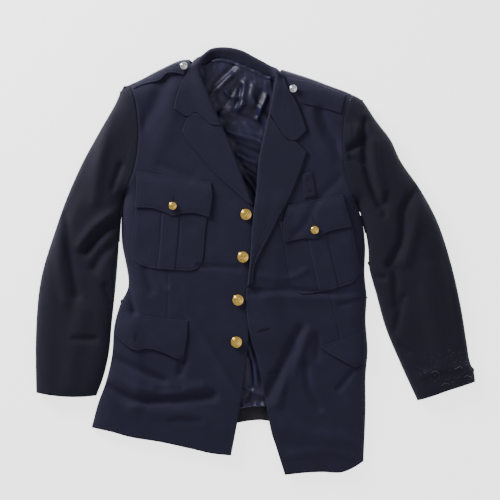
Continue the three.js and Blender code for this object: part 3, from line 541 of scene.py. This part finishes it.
def armholeLine(side, count, gap, ease=bothEnds):
    sign = 1 if side == "right" else -1
    return curve(outline[side]["armhole"], count, ease) + (sign * gap, 0)


def frontPlan(side):
    half = outline[side]
    seam = chain(armholeLine(side, grain["arm"] + 1, 0.3), curve(half["side"], grain["side"] + 1))
    neck, roll = grain["neck"][side], grain["roll"][side]
    out = -cloth["turn"] if side == "right" else cloth["turn"]
    free = grain["arm"] + grain["side"] - neck - roll
    border = chain(curve(half["neck"], neck + 1), inset(curve(half["roll"], roll + 1), out),
                   curve(half["opening"], free + 1))
    top = curve(half["shoulder"], grain["across"] + 1, nearStart)
    low = curve(half["hem"], grain["across"] + 1, nearStart)
    return patch(top, low, seam, border) if side == "right" else patch(top[::-1], low[::-1], border, seam)


def front(side):
    outer = solid(frontPlan(side), lambda x, y: topHeight("body", x, y))
    level = ("left", "top") if side == "right" else ("right", "top")
    shell(f"front_{side}", outer, cloth["wool"], f"front_{side}", wool, levelSides=level)


backTop = chain(curve(outline["right"]["shoulder"], 25), curve(backNeck, 50),
                curve(outline["left"]["shoulder"], 25)[::-1])
backLeft = chain(armholeLine("right", 41, 0.8), curve(outline["right"]["side"], 61))
backRight = chain(armholeLine("left", 41, 1.2), curve(outline["left"]["side"], 61))
backPlan = patch(backTop, curve(backHem, len(backTop)), backLeft, backRight)
backOuter = solid(backPlan, lambda x, y: underHeight("body", x, y))[:, ::-1]
shell("back", backOuter, cloth["wool"], "back", wool, levelSides=("left", "right"))


def backFace(x, y):
    return underHeight("body", x, y) + cloth["wool"]


hemLine = curve(backHem, 240)
keep = hemLine[(hemLine[:, 0] > -299) & (hemLine[:, 0] < 187)]
low, high = inset(keep, 1), inset(keep, 50)
facingPlan = patch(curve(high, 160), curve(low, 160), curve([high[0], low[0]], 24),
                   curve([high[-1], low[-1]], 24))
facingOuter = solid(facingPlan, lambda x, y: backFace(x, y) + 2.2 + 0.5 * ripple(x, y, 8, 30))
shell("back_hem_facing", facingOuter, cloth["light"], "back_hem_facing", facingWool)

print("lining")


def liningHeight(x, y):
    # The lining on the back: long pulled folds, fine puckers by the neck seam and gathers above the hem.
    lift = folds(liningFolds, x, y)
    hem = distance(hemLine, x, y)
    gather = np.exp(-(((hem - 34) / 14) ** 2)) * (1 + np.sin(x * 0.42 + 2 * ripple(x, y, 2, 40)))
    pucker = np.exp(-((distance(neckLine, x, y) / 26) ** 2)) * (1 + ripple(x * 1.6, y * 0.6, 4, 15) * 2)
    wave = ripple(x, y, 9, 60) * 1.6 + ripple(x * 1.3, y * 0.8, 12, 24) * 1.3
    soft = 4.2 + lift + 1.1 * gather + 0.9 * pucker + wave
    return backFace(x, y) + 1.6 + np.maximum(0.4, soft)


liningTop = chain(inset(curve(outline["right"]["shoulder"], 12), -18)[1:-2],
                  inset(curve(backNeck[2:-2], 60), -1.5),
                  inset(curve(outline["left"]["shoulder"], 12), 18)[::-1][2:-1])
liningLow = inset(curve(backHem, 60), 28)[4:-6]
sideOf = lambda line, y: line[line[:, 1] > y + 20][4:]
liningPlan = patch(curve(liningTop, 220), curve(liningLow, 220),
                   curve(np.vstack([liningTop[0], sideOf(inset(backLeft, 18), liningLow[0][1])[::6],
                                    liningLow[0]]), 200),
                   curve(np.vstack([liningTop[-1], sideOf(inset(backRight, -18), liningLow[-1][1])[::6],
                                    liningLow[-1]]), 200))
shell("back_lining", solid(liningPlan, liningHeight), cloth["satin"], "back_lining", satin)

front("right")
leftHalf = 1
front("left")
leftHalf = 0

print("sleeves")
for side in ("right", "left"):
    half = outline[side]
    for layer, count in (("top", 80), ("under", 36)):
        cap = armholeLine(side, count, -0.3)
        cuff = curve(half["cuff"], count, bothEnds)
        outerLine, innerLine = curve(half["sleeveOuter"], 170), curve(half["sleeveInner"], 170)
        plan = patch(cap, cuff, outerLine, innerLine) if side == "right" else patch(cap[::-1], cuff[::-1],
                                                                                    innerLine, outerLine)
        height = topHeight if layer == "top" else underHeight
        grid = solid(plan, lambda x, y: height("sleeve", x, y))
        grid = grid if layer == "top" else grid[:, ::-1]
        node = f"sleeve_{side}_{layer}"
        # the sleeves take the wool copy that carries painted shade
        shell(node, grid, cloth["wool"], node, shadedSleeveWool, levelSides=("left", "right"))

print("lapels and collar")
lapels = {
    "right": {
        "gorge": [(-67, 270), (-87, 271), (-101, 282), (-119, 296), (-135, 288)], "point": (-163, 304),
        "peak": (-147, 258), "slip": (0.5, -1.2),
        "outer": [(-147, 258), (-131, 234), (-111, 210), (-87, 182), (-61, 156), (-35, 134), (-15, 116)],
    },
    "left": {
        "gorge": [(26, 294), (41, 274), (53, 254), (65, 242), (79, 240)], "point": (103, 261),
        "peak": (103, 217), "slip": (-0.3, -1.2),
        "outer": [(103, 217), (93, 186), (81, 156), (67, 124), (49, 92), (33, 60), (13, 22), (-1, -8),
                  (-6, -44)],
    },
}
turned = {"out": (4.65, 1.6, 0, 2), "up": (-2, -1.4, 1.6, 5), "shallow": 12, "lie": (5.2, 3.8, 3.6)}
flatSteps = np.linspace(0, 1, 25)


def turnedRows(side, turns, edge, fade, bendLine):
    # Rows across a turned edge: round below the turn, then flat out to the edge, in plan and above the front.
    direction = np.gradient(turns, axis=0)
    direction /= np.linalg.norm(direction, axis=1)[:, None]
    sign = 1 if side == "right" else -1
    out = np.stack([sign * direction[:, 1], -sign * direction[:, 0]], axis=1)
    width = np.linalg.norm(edge - turns, axis=1)
    start = (np.minimum(turned["shallow"], 0.4 * width) / width)[:, None]
    share = start + (1 - start) * flatSteps[None]
    line = curve(bendLine, 200)
    straight = line[0] + (line[-1] - line[0]) * np.linspace(0, 1, 200)[:, None]
    bend = np.stack([np.interp(share, np.linspace(0, 1, 200), (line - straight)[:, c]) for c in (0, 1)],
                    axis=-1)
    flat = turns[:, None] + (edge - turns)[:, None] * share[..., None] + bend * fade[:, None, None]
    section = turns[:, None] + out[:, None] * np.array(turned["out"])[None, :, None]
    plan = np.concatenate([section, flat], axis=1)
    up = np.concatenate([turned["up"], np.interp(flatSteps, [0, 0.5, 1], turned["lie"])])
    return np.concatenate([plan, np.broadcast_to(up[None, :, None], (*plan.shape[:2], 1))], axis=2)


def finer(grid, columns):
    # The rows' first points, round the turn, filled in by a smooth line.
    flat = np.moveaxis(grid, 1, 0)[:7].reshape(7, -1)
    smooth = curve(flat, columns).reshape(columns, grid.shape[0], 3)
    return np.concatenate([np.moveaxis(smooth, 0, 1), grid[:, 7:]], axis=1)


def lapel(side):
    data = lapels[side]
    count = 90
    turns = curve(outline[side]["roll"], count)
    first = 10
    edge = chain(curve([data["gorge"][-1], data["peak"]], first), curve(data["outer"], count - first + 1))
    fade = np.clip(1 - np.arange(count) / 24, 0, 1) ** 2
    grid = turnedRows(side, turns, edge, fade, data["gorge"])
    grid[0, :, :2] += data["slip"]
    grid = finer(grid, 14)
    x, y = grid[..., 0], grid[..., 1]
    grid[..., 2] += topHeight("body", x, y)
    border = np.minimum(distance(edge, x, y), distance(grid[0, 8:, :2], x, y))
    grid[..., 2] -= 0.35 * np.exp(-(((border - 5) / 1.2) ** 2))
    grid = grid[::-1] if side == "right" else grid
    shell(f"lapel_{side}", grid, cloth["wool"] - 0.3, f"lapel_{side}", lapelWool)


lapel("right")
leftHalf = 1
lapel("left")

collarFront = {
    "right": [((-67, 270), (-163, 304)), ((-84, 310), (-158, 326)), ((-100, 347), (-147, 356)),
              ((-112, 378), (-137, 375))],
    "left": [((39.2, 366), (57, 364)), ((36, 346), (64, 346)), ((31, 318), (83, 314)),
             ((26, 294), (103, 261))],
}
collarBack = [  # the seam, the turn, the outermost point, where the fall lies down, its lower edge
    [(-114, 387, 24), (-109, 391, 31), (-113, 393, 35), (-122, 391, 35), (-130, 389, 32.5)],
    [(-107, 390, 15), (-104, 403, 27), (-109, 406, 28), (-117, 407, 21), (-121, 404, 13)],
    [(-98, 391.2, 9), (-97, 414, 22), (-102, 416, 20), (-108, 409, 10), (-109, 398, 4)],
    [(-86, 399.2, 7), (-88, 421, 17), (-91, 425, 12), (-95, 416, 2.4), (-96, 388, 0.8)],
    [(-66, 401.2, 6.6), (-70, 425, 15), (-72, 429, 9), (-72, 423, 1.2), (-71, 380, 0.4)],
    [(-44, 395.2, 6.6), (-49, 423, 15), (-49, 428, 9), (-48, 421, 1.2), (-44, 374, 0.4)],
    [(-20, 386.2, 6.6), (-27, 418, 15), (-26, 422, 9), (-25, 415, 1.2), (-18, 366, 0.4)],
    [(3, 376.4, 6.6), (-4, 405, 15), (-3, 410, 9), (-1, 403, 1.2), (8, 357, 0.4)],
    [(20, 368.4, 7.6), (15, 395, 17), (17, 399, 12), (24, 389, 2.4), (27, 358, 0.8)],
    [(31.6, 367.6, 10), (26, 389, 22), (30, 391, 20), (36, 386, 10), (35, 377, 4)],
    [(37.6, 367, 15), (33, 383, 27), (37, 386, 28), (42, 386, 21), (43, 384, 13)],
    [(41.4, 369, 24), (37.4, 375, 32), (42, 377, 36), (47, 376, 36), (53, 373, 33.5)],
]


def collar():
    def frontRows(side):
        data = np.array(collarFront[side], float)
        turns, edge = data[:, 0], data[:, 1]
        order = slice(None, None, -1) if side == "right" else slice(None)
        fade = np.array([1, 0.4, 0.1, 0]) if side == "right" else np.array([0, 0.1, 0.4, 1])
        rows = turnedRows(side, turns[order], edge[order], fade[order],
                          [*lapels[side]["gorge"], lapels[side]["point"]])[order]
        rows[..., 2] += topHeight("body", rows[..., 0], rows[..., 1])
        return rows
    back = np.array(collarBack, float)
    seam, roll, out, lay, edge = (back[:, n] for n in range(5))
    flat = lay[:, None] + (edge - lay)[:, None] * flatSteps[None, :, None]
    backRows = np.concatenate([np.stack([seam, (seam + roll) / 2, roll, out], axis=1), flat], axis=1)
    rows = np.concatenate([frontRows("right"), backRows, frontRows("left")])
    weight = np.array([1.0] * 4 + [0] * len(collarBack) + [1.0] * 4)[:, None]
    weight = np.repeat(weight, rows.shape[1], axis=1)
    packed = np.concatenate([rows, weight[..., None]], axis=2)
    packed = curve(packed.reshape(len(rows), -1), 240).reshape(240, rows.shape[1], 4)
    grid, weight = finer(packed[..., :3], 14), packed[:, :1, 3]
    x, y = grid[..., 0], grid[..., 1]
    rest = topHeight("body", x, y) + 3.0
    onFront = (np.arange(grid.shape[1]) > 13)[None] & (weight > 0.5)
    grid[..., 2] = np.where(onFront, np.maximum(grid[..., 2], rest), grid[..., 2])
    border = distance(grid[:, -1, :2], x, y)
    grid[..., 2] -= 0.35 * np.exp(-(((border - 5) / 1.2) ** 2)) * onFront
    shell("collar", grid, cloth["wool"], "collar", lapelWool)


collar()
leftHalf = 0

print("pockets, flaps and straps")


def panelPlan(lines, columns, rows):
    return patch(curve(lines["top"], columns), curve(lines["bottom"], columns), curve(lines["left"], rows),
                 curve(lines["right"], rows))


def laidPiece(name, plan, up, thickness, material, stitch=4.0):
    # A piece on the front, up(x, y) above it, with a stitched line let in a little inside its edges.
    ring = np.concatenate([plan[0], plan[1:, -1], plan[-1, -2::-1], plan[-2::-1, 0]])[::2]
    def height(x, y):
        border = distance(ring, x, y)
        edge = 0.5 * np.exp(-(((border - stitch) / 1.1) ** 2)) + 0.35 * np.exp(-((border / 1.6) ** 2))
        return topHeight("body", x, y) + up(x, y) - edge
    return shell(name, solid(plan, height), thickness, name, material)


pockets = {
    "right": {
        "top": [(-238, 110), (-96, 92)],
        "left": [(-238, 110), (-239, 104), (-245, 62), (-249, 26), (-246, 4), (-231, -8)],
        "right": [(-96, 92), (-101, 52), (-103, 22), (-107, -2), (-115, -14)],
        "bottom": [(-231, -8), (-211, -14), (-181, -17), (-151, -19), (-127, -19), (-115, -14)],
        "pleats": [[(-187, 100), (-190, 42), (-196, -16)], [(-150, 96), (-153, 52), (-160, -18)]],
    },
    "left": {
        "top": [(47, 78), (192, 76)],
        "left": [(47, 78), (57, 36), (63, -2), (69, -40), (79, -58), (93, -66)],
        "right": [(192, 76), (197, 50), (204, 18), (209, -12), (203, -34), (189, -46)],
        "bottom": [(93, -66), (125, -63), (157, -56), (189, -46)],
        "pleats": [[(100, 60), (113, 6), (127, -58)], [(140, 60), (151, 12), (166, -50)]],
    },
}
breastFlaps = {
    "right": {
        "top": [(-237, 180), (-191, 172), (-137, 162), (-89, 157)],
        "left": [(-237, 180), (-238, 140), (-240, 106)],
        "right": [(-89, 157), (-86, 130), (-92, 87)],
        "bottom": [(-240, 106), (-207, 105), (-181, 97), (-165, 90), (-149, 94), (-121, 95), (-92, 87)],
    },
    "left": {
        "top": [(65, 111), (89, 115), (133, 125), (175, 133)],
        "left": [(65, 111), (56, 76), (57, 36)],
        "right": [(175, 133), (183, 102), (193, 68)],
        "bottom": [(57, 36), (77, 41), (99, 45), (119, 44), (141, 56), (169, 64), (193, 68)],
    },
}
lowerFlaps = {
    "right": {
        "top": [(-271, -95), (-247, -103), (-211, -111), (-171, -116), (-135, -119)],
        "left": [(-271, -95), (-277, -122), (-280, -150)],
        "right": [(-135, -119), (-137, -154), (-145, -201)],
        "bottom": [(-280, -150), (-263, -166), (-243, -178), (-215, -176), (-191, -181), (-167, -192),
                   (-145, -201)],
    },
    "left": {
        "top": [(127, -172), (159, -161), (189, -151), (217, -138)],
        "left": [(127, -172), (145, -184), (165, -195), (186, -207)],
        "right": [(217, -138), (219, -168), (217, -200)],
        "bottom": [(186, -207), (201, -212), (217, -200)],
    },
}
straps = {
    "right": {
        "upper": [(-247, 352), (-227, 359), (-207, 369), (-191, 378), (-175, 387), (-159, 394),
                  (-139, 396)],
        "lower": [(-244, 344), (-227, 352), (-207, 357), (-191, 361), (-177, 374), (-161, 375),
                  (-142, 371)],
        "arch": 7,
    },
    "left": {
        "upper": [(62, 366), (84, 362), (101, 360), (125, 353), (155, 342), (179, 331)],
        "lower": [(80, 330), (91, 316), (115, 309), (141, 303), (158, 298), (170, 294)],
        "arch": 0,
    },
}
for side in ("right", "left"):
    leftHalf = 1 if side == "left" else 0
    first, second = (curve(line, 20) for line in pockets[side]["pleats"])

    def pleat(x, y):
        # the box pleat stands proud between its two pressed folds, with a groove at each
        a, b = distance(first, x, y), distance(second, x, y)
        span = np.linalg.norm(first[10] - second[10])
        inside = ramp((span + 1.5 - a - b + 2) / 4)
        return 2.2 + 1.0 * inside - 1.3 * np.exp(-((a / 1.6) ** 2)) - 1.3 * np.exp(-((b / 1.6) ** 2))

    laidPiece(f"breast_pocket_{side}", panelPlan(pockets[side], 110, 80), pleat, 1.0, wool)
    flapTop = curve(breastFlaps[side]["top"], 20)
    laidPiece(f"breast_flap_{side}", panelPlan(breastFlaps[side], 100, 60),
              lambda x, y: 3.0 + 2.4 * ramp(distance(flapTop, x, y) / 22), 1.3, wool)
    lowTop = curve(lowerFlaps[side]["top"], 20)
    laidPiece(f"lower_flap_{side}", panelPlan(lowerFlaps[side], 90, 50),
              lambda x, y: 2.3 + 1.6 * ramp(distance(lowTop, x, y) / 40), 1.3, wool)
    upper, lower = curve(straps[side]["upper"], 90), curve(straps[side]["lower"], 90)
    strapPlan = patch(upper, lower, curve([upper[0], lower[0]], 24), curve([upper[-1], lower[-1]], 24))
    middle = upper[0][0] + 0.66 * (upper[-1][0] - upper[0][0])
    arch = straps[side]["arch"]
    laidPiece(f"shoulder_strap_{side}", strapPlan, lambda x,
              y: 2.4 + arch * np.exp(-(((x - middle) / 24) ** 2)), 1.3,
              wool, stitch=3.5)

leftHalf = 1
tab = {"corners": [(93, 173), (113, 179), (121, 130), (97, 125)], "eyelets": [(103, 165), (106.6, 142)]}
a, b, c, d = tab["corners"]
tabPlan = patch(curve([a, b], 24), curve([d, c], 24), curve([a, d], 50), curve([b, c], 50))
laidPiece("badge_tab", tabPlan, lambda x, y: 2.3 + 0 * x, 1.2, wool, stitch=1.6)


def plainPiece(name, verts, faces, material, node=None):
    mesh = bpy.data.meshes.new(name)
    mesh.from_pydata(((np.asarray(verts) + (shift, 0, 0)) * mm).tolist(), [], faces)
    mesh.polygons.foreach_set("use_smooth", np.ones(len(faces), dtype=bool))
    mesh.update()
    mesh.materials.append(material)
    layer = mesh.uv_layers.new(name="cloth")
    loops = np.empty(len(mesh.loops), dtype=np.int32)
    mesh.loops.foreach_get("vertex_index", loops)
    layer.data.foreach_set("uv", (np.asarray(verts)[loops][:, :2] * mm).ravel().astype(np.float32))
    piece = bpy.data.objects.new(name, mesh)
    bpy.context.scene.collection.objects.link(piece)
    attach(piece, "root")
    if node:
        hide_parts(node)
    return piece


def surface(x, y, lift):
    # A place on the front or the sleeve, lift above it.
    return float(topHeight("body", np.array([x], float), np.array([y], float))[0]) + lift


def button(node, place, diameter, material, lift):
    # A dome turned round its axis, with a rope rim and a raised rosette of five petals in a ring.
    rings, around = 26, 72
    theta = np.arange(around) * 2 * math.pi / around
    r = np.concatenate([np.linspace(0.02, 1, rings), [1.0, 0.93, 0.5, 0.14, 0.14]])
    z = np.concatenate([0.44 * np.sqrt(np.clip(1 - 0.86 * np.linspace(0.02, 1, rings) ** 2, 0, 1)) + 0.06,
                        [0.12, 0.05, 0.0, 0.0, -0.2]])
    rr, tt = np.meshgrid(r[:rings], theta, indexing="ij")
    petals = 0.05 * np.exp(-(((rr - 0.38) / 0.16) ** 2)) * (0.5 + 0.5 * np.cos(5 * tt)) ** 0.7
    ring = 0.035 * np.exp(-(((rr - 0.68) / 0.035) ** 2))
    rope = 0.05 * np.exp(-(((rr - 0.92) / 0.05) ** 2)) * (0.7 + 0.3 * np.cos(36 * tt + 14 * rr))
    centre = 0.04 * np.exp(-((rr / 0.12) ** 2))
    height = np.repeat(z[:, None], around, axis=1)
    height[:rings] += petals + ring + rope + centre
    radius = diameter / 2
    base = surface(*place, lift)
    verts = np.stack([place[0] + radius * r[:, None] * np.cos(theta),
                      place[1] + radius * r[:, None] * np.sin(theta),
                      base + radius * (height + 0.2)], axis=-1).reshape(-1, 3)
    index = np.arange(len(r) * around).reshape(len(r), around)
    nextOne = np.roll(index, -1, axis=1)
    faces = np.stack([index[:-1], index[1:], nextOne[1:], nextOne[:-1]], axis=-1).reshape(-1, 4).tolist()
    faces += [index[0].tolist(), index[-1][::-1].tolist()]
    mesh = bpy.data.meshes.new(node)
    mesh.from_pydata(((verts + (shift, 0, 0)) * mm).tolist(), [], faces)
    mesh.polygons.foreach_set("use_smooth", np.ones(len(faces), dtype=bool))
    mesh.update()
    mesh.materials.append(material)
    piece = bpy.data.objects.new(node, mesh)
    bpy.context.scene.collection.objects.link(piece)
    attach(piece, "root")
    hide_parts(node)


print("buttons")
leftHalf = 0
for n, place in enumerate([(-19, 93), (-25, 8), (-35, -78), (-38, -162)]):
    button(f"front_button_{n + 1}", place, 22.9, gilt, 1.2)
button("breast_button_right", (-165, 110), 16.5, gilt, 6.4)
button("strap_button_right", (-143, 389), 15, silver, 5.4)
leftHalf = 1
button("breast_button_left", (118, 62), 16.5, gilt, 6.4)
button("strap_button_left", (75, 343), 15, silver, 5.4)


def tube(points, radius, closed, around=8):
    # A round section carried along a path in space.
    points = np.asarray(points, float)
    tangent = (np.roll(points, -1, axis=0) - np.roll(points, 1,
                                                     axis=0)) if closed else np.gradient(points, axis=0)
    tangent /= np.linalg.norm(tangent, axis=1)[:, None]
    side = np.cross(tangent, (0, 0, 1.0))
    side /= np.linalg.norm(side, axis=1)[:, None] + 1e-9
    up = np.cross(side, tangent)
    angle = np.arange(around) * 2 * math.pi / around
    ring = side[:, None] * np.cos(angle)[None, :, None] + up[:, None] * np.sin(angle)[None, :, None]
    verts = (points[:, None] + radius * ring).reshape(-1, 3)
    index = np.arange(len(points) * around).reshape(len(points), around)
    step = np.roll(index, -1, axis=0) if closed else index[1:]
    base = index if closed else index[:-1]
    faces = np.stack([base, np.roll(base, -1, axis=1), np.roll(step, -1, axis=1), step],
                     axis=-1).reshape(-1, 4).tolist()
    if not closed:
        faces += [index[0][::-1].tolist(), index[-1].tolist()]
    return verts, faces


def joined(parts):
    verts, faces, start = [], [], 0
    for v, f in parts:
        verts.append(v)
        faces += [[i + start for i in face] for face in f]
        start += len(v)
    return np.concatenate(verts), faces


print("small things")
# the two ends of each buttonhole, how high it lies over the front, and whether it is on the left half
holes = [
    ((-9, -56), (13, -52), 0.3, 1), ((3, -140), (29, -134), 0.3, 1), ((21, -224), (49, -218), 0.3, 1),
    ((-6, 24), (10, 27), 4.0, 1), ((113, 90), (116, 76), 5.6, 1), ((83, 340), (93, 334), 2.6, 1),
    ((-165, 132), (-165, 119), 5.6, 0), ((-239, -142), (-243, -160), 4.1, 0),
]
parts = []
for a, b, lift, half in holes:
    leftHalf = half
    a, b = np.array(a, float), np.array(b, float)
    along = (b - a) / np.linalg.norm(b - a)
    across = np.array([-along[1], along[0]])
    t = np.linspace(0, 2 * math.pi, 48, endpoint=False)
    plan = (a + b) / 2 + np.outer(np.cos(t), along) * np.linalg.norm(b - a) / 2 + np.outer(np.sin(t),
                                                                                           across) * 1.1
    height = topHeight("body", plan[:, 0], plan[:, 1]) + lift
    parts.append(tube(np.column_stack([plan, height]), 0.45, True))
verts, faces = joined(parts)
plainPiece("buttonholes", verts, faces, thread)

leftHalf = 1
for name, (x, y) in zip(("eyelet_upper", "eyelet_lower"), tab["eyelets"]):
    t = np.linspace(0, 2 * math.pi, 32, endpoint=False)
    plan = np.column_stack([x + 2.4 * np.cos(t), y + 2.4 * np.sin(t)])
    verts, faces = tube(np.column_stack([plan, topHeight("body", plan[:, 0], plan[:, 1]) + 2.8]), 0.7,
                        True, 10)
    plainPiece(name, verts, faces, darkMetal, name)

rng = np.random.default_rng(11)
specks = []
for n in range(150):  # lint and cut threads left on the cuff of the left sleeve
    x, y = rng.uniform(322, 438), rng.uniform(-262, -176)
    if y < -250 - 0.25 * (x - 380) or rng.random() < 0.35 * (y > -205):
        continue
    length, angle = rng.uniform(0.8, 3.2), rng.uniform(0, math.pi)
    t = np.linspace(-0.5, 0.5, 4)
    plan = np.column_stack([x + length * t * np.cos(angle), y + length * t * np.sin(angle) + 0.4 * t * t])
    height = topHeight("sleeve", plan[:, 0], plan[:, 1]) + 0.25
    specks.append(tube(np.column_stack([plan, height]), rng.uniform(0.07, 0.17), False, 5))
for start, turnBy in (((352, -226), 0.5), ((398, -214), -0.6), ((418, -236), 0.9), ((372, -248), -0.3)):
    t = np.linspace(0, 1, 24)
    plan = np.column_stack([start[0] + 16 * t, start[1] + 5 * np.sin(3 * t + turnBy) + 6 * turnBy * t])
    specks.append(tube(np.column_stack([plan, topHeight("sleeve", plan[:, 0], plan[:, 1]) + 0.25]), 0.2,
                       False, 6))
verts, faces = joined(specks)
plainPiece("cuff_lint", verts, faces, lint)

print("floor and lights")
floorLook = bpy.data.materials.new("floor")
floorLook.use_nodes = True
floorShader = floorLook.node_tree.nodes["Principled BSDF"]
floorShader.inputs["Base Color"].default_value = (0.86, 0.86, 0.86, 1)
floorShader.inputs["Roughness"].default_value = 0.9
floorShader.inputs["Emission Color"].default_value = (1, 1, 1, 1)
floorShader.inputs["Emission Strength"].default_value = 2.2
floorMesh = bpy.data.meshes.new("floor")
floorMesh.from_pydata([(-6, -6, -0.0005), (6, -6, -0.0005), (6, 6, -0.0005), (-6, 6, -0.0005)], [],
                      [(0, 1, 2, 3)])
floorMesh.materials.append(floorLook)
floor = bpy.data.objects.new("floor", floorMesh)
bpy.context.scene.collection.objects.link(floor)

world = bpy.data.worlds.new("studio")
world.use_nodes = True
world.node_tree.nodes["Background"].inputs["Color"].default_value = (1, 1, 1, 1)
world.node_tree.nodes["Background"].inputs["Strength"].default_value = 0.5
bpy.context.scene.world = world
for name, place, size, power in (("key", (-1.6, 1.6, 0.85), 0.8, 75), ("fill", (1.8, -0.6, 2.2), 2.5, 14)):
    lamp = bpy.data.lights.new(name, "AREA")
    lamp.size, lamp.energy = size, power
    lampObject = bpy.data.objects.new(name, lamp)
    lampObject.location = place
    direction = -np.array(place)
    lampObject.rotation_euler = (math.atan2(math.hypot(direction[0], direction[1]), -direction[2]), 0,
                                 math.atan2(direction[1], direction[0]) - math.pi / 2)
    bpy.context.scene.collection.objects.link(lampObject)

bpy.context.view_layer.update()
